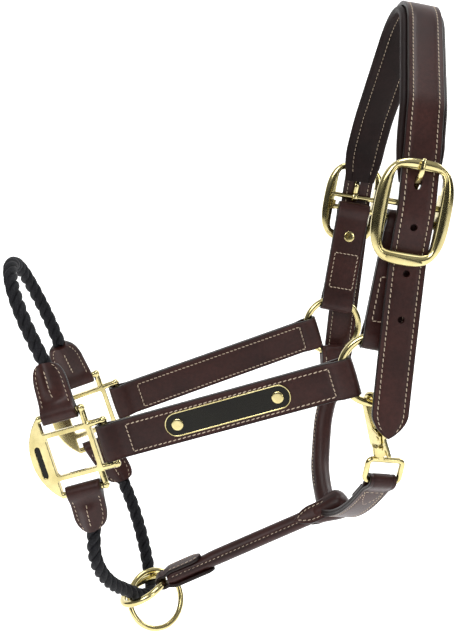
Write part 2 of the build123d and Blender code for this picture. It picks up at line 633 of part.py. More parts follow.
hook_front = SNAP.from_local_coords(Vector(-HOOK_RADIUS, 0, 0))
hook_back = SNAP.from_local_coords(Vector(HOOK_RADIUS, 0, 0))
hook_nib = SNAP.from_local_coords(Vector(HOOK_RADIUS, -2.2, 0))
with BuildPart() as snap_body:
    with BuildSketch(Plane(origin=hook_front, x_dir=snap_rear, z_dir=snap_up)):
        Circle(HOOK_WIRE / 2)
    revolve(axis=Axis(hook_at, -SNAP.z_dir), revolution_arc=180)
    rod(hook_back, hook_nib, HOOK_WIRE)
    with BuildSketch(SNAP):
        Polygon((-HOOK_RADIUS + HOOK_WIRE / 2, 0.2), (-HOOK_RADIUS - HOOK_WIRE / 2, 0.2),
                (-6.6, BARREL_TOP - 2), (1.0, BARREL_TOP - 2), (5.8, BARREL_TOP + 4),
                (6.2, GATE_PIVOT[1] + 2.5), (-1.6, GATE_PIVOT[1] + 5), align=None)
    extrude(amount=SNAP_THICKNESS / 2, both=True)
    with BuildSketch(across_snap(BARREL_TOP)):
        Circle(4.6)
    extrude(amount=BARREL_TOP - BARREL_END)
    # slot for the gate and bore for its pin
    with BuildSketch(SNAP):
        Polygon((-1.2, GATE_PIVOT[1] + 8), (-1.2, GATE_PIVOT[1] - 4.2), (14, GATE_PIVOT[1] - 12),
                (14, GATE_PIVOT[1] + 8), align=None)
    extrude(amount=GATE_THICKNESS / 2 + 0.3, both=True, mode=Mode.SUBTRACT)
    with BuildSketch(SNAP):
        with Locations(GATE_PIVOT):
            Circle(SNAP_PIN / 2)
    extrude(amount=10, both=True, mode=Mode.SUBTRACT)
    # swivel bore and the pocket for the stud's head
    with BuildSketch(across_snap(BARREL_END + 2.6)):
        Circle(2.18)
    extrude(amount=6, mode=Mode.SUBTRACT)
    with BuildSketch(across_snap(BARREL_END + 5.6)):
        Circle(3.3)
    extrude(amount=3.0, mode=Mode.SUBTRACT)

with BuildPart() as snap_pin:
    with BuildSketch(SNAP):
        with Locations(GATE_PIVOT):
            Circle(SNAP_PIN / 2)
    extrude(amount=SNAP_THICKNESS / 2 + 0.5, both=True)

with BuildPart() as snap_gate:
    with BuildSketch(SNAP):
        with Locations(GATE_PIVOT):
            Circle(3.1)
        Polygon((GATE_PIVOT[0] - 2.6, GATE_PIVOT[1] + 1.4), (GATE_TIP[0] - 1.6, GATE_TIP[1]),
                (GATE_TIP[0] + 2.4, GATE_TIP[1]), (GATE_PIVOT[0] + 4.4, GATE_PIVOT[1] + 1.0),
                (GATE_PIVOT[0] + 8.4, GATE_PIVOT[1] - 11.5), (GATE_PIVOT[0] + 5.8, GATE_PIVOT[1] - 12.2),
                (GATE_PIVOT[0] + 1.6, GATE_PIVOT[1] - 2.6), align=None)
    extrude(amount=GATE_THICKNESS / 2, both=True)
    with BuildSketch(SNAP):
        with Locations(GATE_PIVOT):
            Circle(2.2)
    extrude(amount=0.7, both=True, mode=Mode.SUBTRACT)
    with BuildSketch(SNAP):
        with Locations(GATE_PIVOT):
            Circle(SNAP_PIN / 2 + 0.08)
    extrude(amount=4, both=True, mode=Mode.SUBTRACT)

with BuildPart() as snap_spring:
    with BuildSketch(SNAP):
        with Locations(GATE_PIVOT):
            Circle(2.0)
            Circle(SNAP_PIN / 2 + 0.12, mode=Mode.SUBTRACT)
    extrude(amount=0.55, both=True)

EYE_WIDTH = 24.0
eye_drop = snap_eye_bar - eye_top
eye_drop = eye_drop - flat_across.normalized() * eye_drop.dot(flat_across.normalized())
eye_middle = snap_eye_bar - eye_drop
EYE = Plane(origin=eye_middle, x_dir=flat_across, z_dir=flat_across.cross(-eye_drop))
with BuildPart() as snap_eye:
    with BuildLine(EYE) as eye_line:
        FilletPolyline((0, 0), (EYE_WIDTH / 2, 0), (EYE_WIDTH / 2, -eye_drop.length),
                       (-EYE_WIDTH / 2, -eye_drop.length), (-EYE_WIDTH / 2, 0), (-0.01, 0), radius=3.0)
    with BuildSketch(Plane(origin=eye_middle, z_dir=EYE.x_dir)):
        Circle(EYE_WIRE / 2)
    sweep(path=eye_line.wire())
    rod(eye_top, SNAP.from_local_coords(Vector(0, BARREL_END + 5.2, 0)), 4.2)
    with BuildSketch(across_snap(BARREL_END + 5.3)):
        Circle(3.1)
    extrude(amount=2.4)

for name, piece in (("crown_strap", crown_strap), ("crown_pad", crown_pad),
                    ("near_buckle_frame", near_buckle_frame), ("near_tongue_pin", near_tongue_pin),
                    ("near_buckle_tongue", near_buckle_tongue), ("near_billet", near_billet),
                    ("near_billet_rivet", near_billet_rivet),
                    ("near_halter_square", near_halter_square),
                    ("near_cheek_strap", near_cheek_strap_riveted),
                    ("name_plate", name_plate), ("name_plate_rivets", name_plate_rivets),
                    ("chin_strap", chin_strap),
                    ("chin_strap_wrap", chin_strap_wrap), ("throat_strap", throat_strap),
                    ("throat_roll", throat_roll), ("snap_body", snap_body), ("snap_pin", snap_pin),
                    ("snap_gate", snap_gate), ("snap_spring", snap_spring), ("snap_eye", snap_eye)):
    save(name, piece.part)
for name, part in (("near_nose_tab", near_nose_tab), ("near_chin_tab", near_chin_tab),
                   ("far_chin_tab", far_chin_tab), ("nose_rope", nose_rope), ("chin_rope", chin_rope),
                   ("near_cheek_ring", near_cheek_ring), ("far_cheek_ring", far_cheek_ring),
                   ("chin_ring", chin_ring), ("lead_ring", lead_ring)):
    save(name, part)
for name, piece in (("buckle_frame", near_buckle_frame), ("tongue_pin", near_tongue_pin),
                    ("buckle_tongue", near_buckle_tongue), ("billet", near_billet),
                    ("billet_rivet", near_billet_rivet),
                    ("halter_square", near_halter_square), ("cheek_strap", near_cheek_strap)):
    with BuildPart() as far_piece:
        mirror(piece.part, about=Plane.XZ)
    save("far_" + name, far_piece.part)
with BuildPart() as far_nose_tab:
    mirror(near_nose_tab, about=Plane.XZ)
save("far_nose_tab", far_nose_tab.part)
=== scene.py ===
import json
from math import cos, hypot, pi, radians, sin, sqrt, tan

import bmesh
import bpy
from mathutils import Matrix, Quaternion, Vector


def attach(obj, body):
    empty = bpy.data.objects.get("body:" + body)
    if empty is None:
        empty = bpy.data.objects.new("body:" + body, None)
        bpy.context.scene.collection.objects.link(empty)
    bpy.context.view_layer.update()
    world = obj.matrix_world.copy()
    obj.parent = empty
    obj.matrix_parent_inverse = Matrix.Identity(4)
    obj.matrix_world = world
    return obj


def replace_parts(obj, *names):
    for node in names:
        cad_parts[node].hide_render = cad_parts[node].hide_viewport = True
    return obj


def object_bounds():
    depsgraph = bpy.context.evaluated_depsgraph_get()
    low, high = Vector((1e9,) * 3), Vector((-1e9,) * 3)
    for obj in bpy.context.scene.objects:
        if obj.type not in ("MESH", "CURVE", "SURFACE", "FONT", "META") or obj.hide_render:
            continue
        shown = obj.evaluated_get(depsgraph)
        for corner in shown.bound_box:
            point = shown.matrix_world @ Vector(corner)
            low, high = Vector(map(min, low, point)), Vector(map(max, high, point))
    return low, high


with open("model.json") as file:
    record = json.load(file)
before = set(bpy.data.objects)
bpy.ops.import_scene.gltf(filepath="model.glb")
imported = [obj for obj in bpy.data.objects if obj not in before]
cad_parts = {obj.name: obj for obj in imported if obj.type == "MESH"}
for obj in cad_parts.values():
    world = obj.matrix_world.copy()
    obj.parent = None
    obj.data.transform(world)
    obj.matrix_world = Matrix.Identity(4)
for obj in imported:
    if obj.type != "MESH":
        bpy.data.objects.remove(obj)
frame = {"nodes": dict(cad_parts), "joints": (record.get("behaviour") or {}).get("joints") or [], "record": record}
cad_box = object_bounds()

# ------------------------------------------------------------------ the frame's own places, in millimetres
MM = 0.001
JOINTS = {joint["name"]: joint for joint in frame["joints"]}


def joint_point(name):
    """The point that a joint turns about."""
    return Vector(JOINTS[name]["pos_m"]) / MM


def joint_axis(name):
    return Vector(JOINTS[name]["axis"]).normalized()


ACROSS = joint_axis("near_tongue_hinge")              # along the buckle pins, backwards
SIDE = Vector((0, 1, 0))                               # towards the far side
HEAD_UP = ACROSS.cross(SIDE)                           # up the headpiece
NEAR_RING = joint_point("near_ring_turn")
CHEEK_DIP = radians(17.2)
CHEEK_TOE_IN = radians(10.0)
FORWARD = Vector((-cos(CHEEK_DIP) * cos(CHEEK_TOE_IN), cos(CHEEK_DIP) * sin(CHEEK_TOE_IN), -sin(CHEEK_DIP)))
OUTWARD = Vector((-sin(CHEEK_TOE_IN), -cos(CHEEK_TOE_IN), 0))
UPWARD = FORWARD.cross(OUTWARD)


def head(out, up, along=0.0):
    """A point on the near side of the headpiece: out from the middle plane, up it, and back across it."""
    return SIDE * -out + HEAD_UP * up + ACROSS * along


def cheek(reach, up, out=0.0):
    """A point on the near cheek: forwards from the cheek ring, up, and outwards."""
    return NEAR_RING + FORWARD * reach + UPWARD * up + OUTWARD * out


def far(point):
    """The same point on the far side."""
    return Vector((point.x, -point.y, point.z))


# ------------------------------------------------------------------ camera, floor and light
CAMERA_AT = Vector((-155.9, -648.65, -105.35)) * MM
CAMERA_YAW = radians(2.63)
CAMERA_PITCH = radians(8.91)
CAMERA_LENS = 52.16
FLOOR_BELOW = 0.25                                     # metres from the headcollar down to the floor
LIGHTS = (("key", (-0.9, -1.3, 0.9), 0.8, 17), ("rim", (1.2, 0.6, 0.7), 0.7, 12),
          ("fill", (0.9, -1.4, 0.1), 0.5, 4), ("top", (0.0, -0.1, 1.4), 0.7, 11))


def make_camera():
    data = bpy.data.cameras.new("camera")
    data.lens = CAMERA_LENS
    data.sensor_width = 36.0
    data.clip_start = 0.01
    camera = bpy.data.objects.new("camera", data)
    camera.location = CAMERA_AT
    camera.rotation_euler = (pi / 2 - CAMERA_PITCH, 0, -CAMERA_YAW)
    bpy.context.scene.collection.objects.link(camera)
    bpy.context.scene.camera = camera


def link(name, mesh):
    obj = bpy.data.objects.new(name, mesh)
    bpy.context.scene.collection.objects.link(obj)
    return obj


def make_stage():
    """A pale floor that curves up into a backdrop, and soft lights."""
    floor_height = cad_box[0][2] - FLOOR_BELOW
    profile = [(-4.0, 0.0), (2.0, 0.0)]
    profile += [(2.0 + sin(radians(a)), 1.0 - cos(radians(a))) for a in range(10, 91, 10)]
    profile.append((3.0, 5.0))
    points = [(x, y, floor_height + z) for x in (-5.0, 5.0) for y, z in profile]
    count = len(profile)
    faces = [(i, i + 1, count + i + 1, count + i) for i in range(count - 1)]
    mesh = bpy.data.meshes.new("floor")
    mesh.from_pydata(points, [], faces)
    for polygon in mesh.polygons:
        polygon.use_smooth = True
    floor = link("floor", mesh)
    paper, tree, shader, _, _ = new_material("paper")
    set_inputs(tree, shader, {"Base Color": (0.93, 0.93, 0.93, 1), "Roughness": 0.9,
                              "Emission Color": (1, 1, 1, 1), "Emission Strength": 0.74})
    floor.data.materials.append(paper)
    bpy.context.scene.view_settings.view_transform = "Standard"
    world = bpy.data.worlds.new("studio")
    bpy.context.scene.world = world
    world.use_nodes = True
    tree = world.node_tree
    upwards = tree.nodes.new("ShaderNodeTexCoord").outputs["Generated"]
    height = tree.nodes.new("ShaderNodeSeparateXYZ")
    tree.links.new(upwards, height.inputs[0])
    sky = tree.nodes.new("ShaderNodeValToRGB")
    for element, (at, grey) in zip(sky.color_ramp.elements, ((0.05, 0.05), (0.75, 0.9))):
        element.position = at
        element.color = (grey, grey, grey, 1)
    tree.links.new(height.outputs["Z"], sky.inputs["Fac"])
    tree.links.new(sky.outputs["Color"], tree.nodes["Background"].inputs["Color"])
    tree.nodes["Background"].inputs["Strength"].default_value = 0.55
    middle = Vector((-0.12, 0, -0.22))
    for name, place, size, power in LIGHTS:
        data = bpy.data.lights.new(name, "AREA")
        data.size = size
        data.energy = power
        lamp = bpy.data.objects.new(name, data)
        lamp.location = place
        lamp.rotation_euler = (middle - Vector(place)).to_track_quat("-Z", "Y").to_euler()
        bpy.context.scene.collection.objects.link(lamp)


# ------------------------------------------------------------------ materials
def new_material(name):
    """A material: its node tree, shader and object coordinates, and a function that adds and joins nodes."""
    material = bpy.data.materials.new(name)
    material.use_nodes = True
    tree = material.node_tree
    shader = tree.nodes["Principled BSDF"]

    def add(kind, values=(), **settings):
        node = tree.nodes.new(kind)
        for key, value in settings.items():
            setattr(node, key, value)
        set_inputs(tree, node, values)
        return node

    place = add("ShaderNodeTexCoord").outputs["Object"]
    return material, tree, shader, place, add


def set_inputs(tree, node, values):
    """Joins or sets a node's inputs."""
    for key, value in dict(values).items():
        if isinstance(value, bpy.types.NodeSocket):
            tree.links.new(value, node.inputs[key])
        else:
            node.inputs[key].default_value = value


def noise(add, place, scale, detail):
    return add("ShaderNodeTexNoise", {"Vector": place, "Scale": scale, "Detail": detail}).outputs["Fac"]


def rougher(add, factor, low, high):
    return add("ShaderNodeMapRange", {"Value": factor, "To Min": low, "To Max": high}).outputs["Result"]


def both(add, one, other):
    return add("ShaderNodeMath", {0: one, 1: other}, operation="ADD").outputs[0]


def bump(add, height, strength, distance):
    node = add("ShaderNodeBump", {"Height": height, "Strength": strength, "Distance": distance})
    return node.outputs["Normal"]


def ramp(add, factor, stops):
    """A colour ramp over factor; each stop is a place and a grey or a colour."""
    node = add("ShaderNodeValToRGB", {"Fac": factor})
    elements = node.color_ramp.elements
    while len(elements) < len(stops):
        elements.new(0.5)
    for element, (place, colour) in zip(elements, stops):
        element.position = place
        element.color = (*colour, 1) if hasattr(colour, "__len__") else (colour, colour, colour, 1)
    return node.outputs["Color"]


def leather(name, dark, light, edge, grain=0.25, roughness=(0.32, 0.46), gloss=0.22):
    """Finished bridle leather: slow colour drift, fine pores, faint creases and burnished edges.

    The mesh attribute edge is 1 on cut edges and in stitch creases; on the crown pad's face under the strap it is
    0.3, painted shade between pad and strap."""
    material, tree, shader, place, add = new_material(name)
    mottle = noise(add, place, 420.0, 3.0)
    body_colour = ramp(add, noise(add, place, 38.0, 4.0), [(0.32, dark), (0.7, light)])
    fleck = ramp(add, mottle, [(0.35, 0.82), (0.65, 1.1)])
    mixed = add("ShaderNodeMix", {0: 1.0, 6: body_colour, 7: fleck}, data_type="RGBA", blend_type="MULTIPLY")
    at_edge = add("ShaderNodeAttribute", attribute_name="edge").outputs["Fac"]
    coloured = add("ShaderNodeMix", {0: at_edge, 6: mixed.outputs[2], 7: (*edge, 1)}, data_type="RGBA")
    pores = add("ShaderNodeTexVoronoi", {"Vector": place, "Scale": 1500.0}).outputs["Distance"]
    creases = noise(add, place, 160.0, 6.0)
    set_inputs(tree, shader, {"Base Color": coloured.outputs[2],
                              "Roughness": rougher(add, mottle, *roughness),
                              "Normal": bump(add, both(add, pores, creases), grain, 0.00025),
                              "Specular IOR Level": gloss})
    return material


def polished_metal(name, colour, worn):
    """Cast and polished metal: faint polishing lines, small dents and darker handling marks."""
    material, tree, shader, place, add = new_material(name)
    cloud = noise(add, place, 90.0, 5.0)
    lines = noise(add, place, 1300.0, 2.0)
    set_inputs(tree, shader, {"Base Color": ramp(add, cloud, [(0.25, worn), (0.7, colour)]),
                              "Roughness": rougher(add, cloud, 0.22, 0.08),
                              "Normal": bump(add, both(add, cloud, lines), 0.06, 0.0002), "Metallic": 1.0})
    return material


def fibre(name, dark, light):
    """Spun thread or rope yarn: a soft streaked surface."""
    material, tree, shader, place, add = new_material(name)
    streak = noise(add, place, 900.0, 5.0)
    set_inputs(tree, shader, {"Base Color": ramp(add, streak, [(0.3, dark), (0.7, light)]), "Roughness": 0.62,
                              "Normal": bump(add, streak, 0.5, 0.0004), "Specular IOR Level": 0.15})
    return material


def lacquer_and_painted_shade(name, colour):
    """The dark lacquer of the name plate, a little cloudy; laid in the squares' sunk panels it is painted shade.
    """
    material, tree, shader, place, add = new_material(name)
    cloud = noise(add, place, 60.0, 4.0)
    low, high = (tuple(c * factor for c in colour) for factor in (0.7, 1.4))
    set_inputs(tree, shader, {"Base Color": ramp(add, cloud, [(0.3, low), (0.7, high)]),
                              "Roughness": rougher(add, cloud, 0.18, 0.32), "Specular IOR Level": 0.2})
    return material


BROWN = leather("brown_leather", (0.021, 0.0066, 0.0054), (0.038, 0.0116, 0.0092), (0.006, 0.003, 0.0026))
LINING = leather("pad_leather", (0.007, 0.0035, 0.0032), (0.014, 0.0065, 0.0058), (0.004, 0.0025, 0.0022),
                 grain=0.4, roughness=(0.42, 0.58), gloss=0.1)
THREAD = fibre("thread", (0.30, 0.22, 0.16), (0.58, 0.48, 0.36))
ROPE_YARN = fibre("rope_yarn", (0.002, 0.002, 0.0026), (0.014, 0.014, 0.017))
BRASS = polished_metal("polished_brass", (0.64, 0.56, 0.285), (0.47, 0.395, 0.17))
STEEL = polished_metal("spring_steel", (0.6, 0.6, 0.6), (0.4, 0.4, 0.4))
# the name plate's dark lacquer, also used as painted shade in the halter squares' sunk panels
LACQUER_AND_PAINTED_SHADE = lacquer_and_painted_shade("dark_lacquer_and_painted_shade", (0.0050, 0.0046, 0.0024))


# ------------------------------------------------------------------ meshes
SHARP = 48.0


def skin(rings, count, closed=False, base=0):
    """Faces over a row of rings of count points each, capped at both ends unless the row is closed."""
    faces = []
    for i in range(rings if closed else rings - 1):
        a, b = base + i * count, base + (i + 1) % rings * count
        faces += [(a + k, a + (k + 1) % count, b + (k + 1) % count, b + k) for k in range(count)]
    if not closed:
        last = base + (rings - 1) * count
        faces += [tuple(reversed(range(base, base + count))), tuple(range(last, last + count))]
    return faces


def circle(count):
    """The cosine and sine of count even steps round a circle."""
    return [(cos(2 * pi * k / count), sin(2 * pi * k / count)) for k in range(count)]


def square_to(axis):
    """The axis as a unit direction, and two more square to it and to each other."""
    axis = axis.normalized()
    side = axis.orthogonal().normalized()
    return axis, side, axis.cross(side)


def make(name, points, faces, material, edges=None):
    """A smooth mesh piece from points in millimetres. edges gives the leather's edge attribute."""
    mesh = bpy.data.meshes.new(name)
    mesh.from_pydata([tuple(Vector(p) * MM) for p in points], [], faces)
    mesh.polygons.foreach_set("use_smooth", [True] * len(mesh.polygons))
    if edges is not None:
        attribute = mesh.attributes.new("edge", "FLOAT", "POINT")
        attribute.data.foreach_set("value", edges)
    mesh.materials.append(material)
    turn_outwards(mesh)
    mesh.set_sharp_from_angle(angle=radians(SHARP))
    obj = link(name, mesh)
    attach(obj, "headcollar")
    return obj


def turn_outwards(mesh):
    """Makes every face of a closed mesh look outwards."""
    working = bmesh.new()
    working.from_mesh(mesh)
    bmesh.ops.recalc_face_normals(working, faces=working.faces)
    working.to_mesh(mesh)
    working.free()


def swap_to_far(*pieces):
    """Moves pieces built on the near side to the far side."""
    for piece in pieces:
        piece.data.transform(Matrix.Scale(-1, 4, (0, 1, 0)))
        piece.data.flip_normals()


def rounded(corners, radii, step=1.5):
    """Points along a route of straight runs, with an arc of the given radius at each corner."""
    corners = [Vector(c) for c in corners]
    points = [corners[0]]
    for here, before, after, radius in zip(corners[1:-1], corners, corners[2:], radii):
        come, leave = (here - before).normalized(), (after - here).normalized()
        turn = come.angle(leave)
        start = here - come * radius * tan(turn / 2)
        centre = here + (leave - come).normalized() * radius / cos(turn / 2)
        turned_about = come.cross(leave).normalized()
        add_run(points, start, step)
        count = max(2, int(radius * turn / step) + 1)
        for i in range(1, count + 1):
            points.append(centre + Quaternion(turned_about, turn * i / count) @ (start - centre))
    add_run(points, corners[-1], step)
    return points


def add_run(points, end, step):
    """Adds evenly spaced points from the last one to end."""
    run = end - points[-1]
    count = max(1, int(run.length / step))
    begin = points[-1]
    for i in range(1, count + 1):
        points.append(begin + run * i / count)


def directions(path, closed=False):
    """The unit direction at each point of a path."""
    last = len(path) - 1
    found = []
    for i in range(len(path)):
        before = path[i - 1] if i or closed else path[0]
        after = path[(i + 1) % len(path)] if i < last or closed else path[last]
        found.append((after - before).normalized())
    return found


def strap_section(width, thickness, crease=3.3, crown=0.25, corner=0.8, creases=(1, -1), depth=0.3):
    """A strap cut across: (across, outwards, edge) points anticlockwise, outer face first.

    The faces are slightly crowned, the edges rounded, and a crease is pressed where each row is sewn."""
    half, thick = width / 2, thickness / 2
    sewn = half - crease
    face = [half - corner * 1.1, sewn + 0.9, sewn + 0.35, sewn, sewn - 0.35, sewn - 0.9, half * 0.45, 0.0]
    face += [-u for u in reversed(face[:-1])]

    section = []
    for side in (1, -1):
        for u in face:
            near_row = max(0.0, 1 - abs(abs(u) - sewn) / 0.9) if side in creases else 0.0
            height = thick + crown * (1 - (u / half) ** 2) - crown - depth * near_row
            section.append((side * u, side * height, 0.5 * near_row))
        for angle in (60, 25, -25, -60):
            height = (thick - corner) + corner * sin(radians(abs(angle)))
            section.append((side * (-half + corner * (1 - cos(radians(angle)))),
                            side * height * (1 if angle > 0 else -1), 0.9))
    return section


def ribbon(name, path, across, section, material=BROWN, closed=False, narrow=None):
    """A strap along a path. section is one outline or one for each point; narrow(i) scales its width."""
    points, edges = [], []
    changing = isinstance(section[0], list)
    for i, (here, along) in enumerate(zip(path, directions(path, closed))):
        wide = (across - along * across.dot(along)).normalized()
        out = wide.cross(along)
        factor = narrow(i) if narrow else 1.0
        for u, v, edge in section[i] if changing else section:
            points.append(here + wide * (u * factor) + out * v)
            edges.append(edge)
    faces = skin(len(path), len(section[0] if changing else section), closed)
    return make(name, points, faces, material, edges)


def at_distance(path, distance):
    """The point and direction that far along a path."""
    gone = 0.0
    for a, b in zip(path, path[1:]):
        run = (b - a).length
        if gone + run >= distance and run > 0:
            return a + (b - a) * ((distance - gone) / run), (b - a).normalized()
        gone += run
    return path[-1], (path[-1] - path[-2]).normalized()


def distances(path):
    """How far along a path each of its points is."""
    gone = [0.0]
    for a, b in zip(path, path[1:]):
        gone.append(gone[-1] + (b - a).length)
    return gone


def length_of(path):
    return sum((b - a).length for a, b in zip(path, path[1:]))


class Stitching:
    """Rows of stitches, gathered into one piece of thread."""

    PITCH = 3.3
    LENGTH = 2.35
    WIDE = 0.62
    SLANT = 0.16
    RINGS = ((-0.5, 0.25), (-0.42, 0.75), (-0.2, 1.0), (0.2, 1.0), (0.42, 0.75), (0.5, 0.25))

    def __init__(self):
        self.points, self.faces = [], []

    def stitch(self, at, along, out):
        """One stitch: a short round-ended bar half sunk in the leather, a little aslant."""
        side = out.cross(along).normalized()
        along = (along + side * self.SLANT).normalized()
        side = out.cross(along).normalized()
        self.faces += skin(len(self.RINGS), 6, base=len(self.points))
        for reach, fat in self.RINGS:
            for c, s in circle(6):
                self.points.append(at + along * (reach * self.LENGTH) + side * (c * fat * self.WIDE / 2)
                                   + out * (s * fat * self.WIDE * 0.42))

    def row(self, path, outs):
        """Stitches along a path on a surface; outs is the outward direction, or one for each point."""
        total = length_of(path)
        count = max(1, round(total / self.PITCH))
        for i in range(count):
            at, along = at_distance(path, (i + 0.5) * total / count)
            out = outs
            if isinstance(outs, list):
                out = outs[min(range(len(path)), key=lambda k: (path[k] - at).length_squared)]
            self.stitch(at, along, out)

    def spots(self, found):
        """A row from a list of places, each with its own outward direction."""
        self.row([at for at, _ in found], [out for _, out in found])

    def piece(self, name):
        return make(name, self.points, self.faces, THREAD)


# ------------------------------------------------------------------ ropes
ROPE = 10.0
NOSE_ROUTE_HALF = [(-250.5, -36.5, -231.0), (-257.0, -40.5, -215.0), (-265.5, -38.5, -195.5),
                   (-272.5, -29.5, -178.0), (-276.5, -12.5, -166.5)]
NOSE_ROUTE = [Vector(p) for p in NOSE_ROUTE_HALF] + [far(Vector(p)) for p in reversed(NOSE_ROUTE_HALF)]
CHIN_ROUTE = [Vector(p) for p in (
    (-219.5, -48.0, -340.5), (-220.5, -49.5, -355.5), (-217.5, -44.0, -372.5), (-210.0, -32.0, -389.0),
    (-200.5, -14.0, -402.0), (-191.0, -2.5, -412.5), (-183.5, 13.0, -416.5), (-185.5, 27.0, -412.0),
    (-188.0, 33.5, -399.0), (-191.5, 39.0, -384.0), (-197.0, 46.0, -366.0), (-202.5, 50.5, -352.0),
    (-207.0, 50.0, -340.5))]


def cord_line(route):
    """Points along the smooth line whose control points are the route's, in millimetres."""
    curve = bpy.data.curves.new("line", "CURVE")
    curve.dimensions = "3D"
    curve.resolution_u = 24
    spline = curve.splines.new("NURBS")
    spline.points.add(len(route) - 1)
    for control, point in zip(spline.points, route):
        control.co = (*(point * MM), 1)
    spline.order_u = 3
    spline.use_endpoint_u = True
    obj = link("line", curve)
    bpy.context.view_layer.update()
    mesh = bpy.data.meshes.new_from_object(obj.evaluated_get(bpy.context.evaluated_depsgraph_get()))
    line = [v.co / MM for v in mesh.vertices]
    bpy.data.objects.remove(obj)
    bpy.data.meshes.remove(mesh)
    bpy.data.curves.remove(curve)
    return line


def even(path, step):
    """The same path with points a step apart."""
    total = length_of(path)
    count = max(2, round(total / step))
    points, gone, index = [path[0]], 0.0, 0
    for i in range(1, count):
        want = total * i / count
        while gone + (path[index + 1] - path[index]).length < want:
            gone += (path[index + 1] - path[index]).length
            index += 1
        run = path[index + 1] - path[index]
        points.append(path[index] + run * ((want - gone) / run.length))
    points.append(path[-1])
    return points


def carried_frames(path):
    """A side direction at each point of a path that never twists about it."""
    tangents = directions(path)
    aside = Vector((0, 0, 1)) if abs(tangents[0].z) < 0.9 else Vector((1, 0, 0))
    side = tangents[0].cross(aside).normalized()
    sides = []
    for along in tangents:
        side = (side - along * side.dot(along)).normalized()
        sides.append(side)
    return tangents, sides


LAY = 24.0                                             # length of one whole turn of a strand
STRANDS = 3
YARNS = 8


def laid_rope(name, route):
    """Three strands laid round each other, each with its own fine yarns."""
    path = even(cord_line(route), 0.8)
    tangents, sides = carried_frames(path)
    gone = distances(path)
    strand_radius, helix_radius = ROPE * 0.252, ROPE * 0.25
    around = 20
    points, faces = [], []
    for strand in range(STRANDS):
        faces += skin(len(path), around, base=len(points))
        centres = []
        for here, along, side, distance in zip(path, tangents, sides, gone):
            turn = 2 * pi * distance / LAY + 2 * pi * strand / STRANDS
            centres.append(here + (side * cos(turn) + along.cross(side) * sin(turn)) * helix_radius)
        for i, (centre, line, here) in enumerate(zip(centres, directions(centres), path)):
            out = centre - here
            out = (out - line * out.dot(line)).normalized()
            other = line.cross(out)
            for k, (c, s) in enumerate(circle(around)):
                yarn = 1 + 0.035 * cos(YARNS * 2 * pi * k / around + i * 0.8 * 2 * pi / 3.2)
                flat = 1 - 0.06 * max(0.0, c) ** 4
                points.append(centre + (out * c * flat + other * s) * (strand_radius * yarn))
    return make(name, points, faces, ROPE_YARN), path


def make_ropes():
    for name, node, route, lay in (("laid_nose_rope", "nose_rope", NOSE_ROUTE, "taut"),
                                   ("laid_chin_rope", "chin_rope", CHIN_ROUTE, "hanging")):
        rope, path = laid_rope(name, route)
        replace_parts(rope, node)


# ------------------------------------------------------------------ straps folded round bars
STRAP_WIDTH = 25.0
PLY = 2.6
SLACK = 0.5
RING_WIRE = 5.0
RING_RADIUS = 21.5
RING_SAG = RING_RADIUS - sqrt(RING_RADIUS ** 2 - (STRAP_WIDTH / 2) ** 2)
LOOP_BAR = 4.4
LOOP_REACH = 27.0
SQUARE_REACH = 206.0
STITCH_INSET = 3.3
SEWN_HALF = STRAP_WIDTH / 2 - STITCH_INSET             # from a strap's middle to its rows of stitches
SEWN_HEIGHT = 2 * PLY - 0.12                           # from the middle of two layers to their stitches
CHEEK_BOX = (27.8, 163.8)                              # the sewn box on the cheek strap, from its ring
BILLET_BOX = (36.0, 9.5)                               # on the billet, from its buckle and from its ring


def folded_path(place, length, start_bar, end_bar, start_sag=0.0, end_sag=0.0, step=1.3):
    """Closed centre line of a strap folded round a bar at 0 and at length; place(x, v) gives each point."""
    flat = PLY / 2 + 0.02

    def lift(x):
        bar = start_bar if x < length / 2 else end_bar
        round_bar = bar / 2 + SLACK + PLY / 2
        away = min(min(x, length - x) / (3.4 * PLY), 1.0)
        return round_bar + (flat - round_bar) * (0.5 - 0.5 * cos(pi * max(0.0, away)))

    count = int(length / step)
    outer = [(length * i / count, lift(length * i / count)) for i in range(count + 1)]
    points = (outer + fold_arc(length + end_sag, end_bar, 1) + [(x, -v) for x, v in reversed(outer)]
              + fold_arc(-start_sag, start_bar, -1))
    return [place(x, v) for x, v in points]


def fold_arc(at, bar, way):
    """The half turn round a bar; way is 1 at the far end of a strap and -1 at its start."""
    radius = bar / 2 + SLACK + PLY / 2
    return [(at + way * radius * sin(pi * k / 10), way * radius * cos(pi * k / 10)) for k in range(11)]


def stitch_box(stitching, place, start, end, out):
    """A rectangle of stitches on a flat strap, from start to end along it."""
    half = SEWN_HALF
    corners = [(start, half), (end, half), (end, -half), (start, -half), (start, half)]
    for (x0, y0), (x1, y1) in zip(corners, corners[1:]):
        stitching.row([place(x0, y0), place(x1, y1)], out)


def cheek_strap(side_name, mirror_it):
    """The strap from the cheek ring to the halter square: folded at both ends, sewn in a long box."""
    span = SQUARE_REACH - LOOP_REACH - RING_RADIUS
    path = folded_path(lambda x, v: cheek(RING_RADIUS + x, 0, v), span, RING_WIRE, LOOP_BAR, RING_SAG, 1.5)
    section = strap_section(STRAP_WIDTH, PLY, creases=(1,), crown=0.35)
    strap = ribbon(side_name + "_sewn_cheek_strap", path, -UPWARD, section, closed=True)
    stitching = Stitching()
    for way in (1, -1):
        stitch_box(stitching, lambda x, y: cheek(x, y, way * SEWN_HEIGHT), *CHEEK_BOX, OUTWARD * way)
    thread = stitching.piece(side_name + "_cheek_stitching")
    if mirror_it:
        swap_to_far(strap, thread)
    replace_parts(strap, side_name + "_cheek_strap")


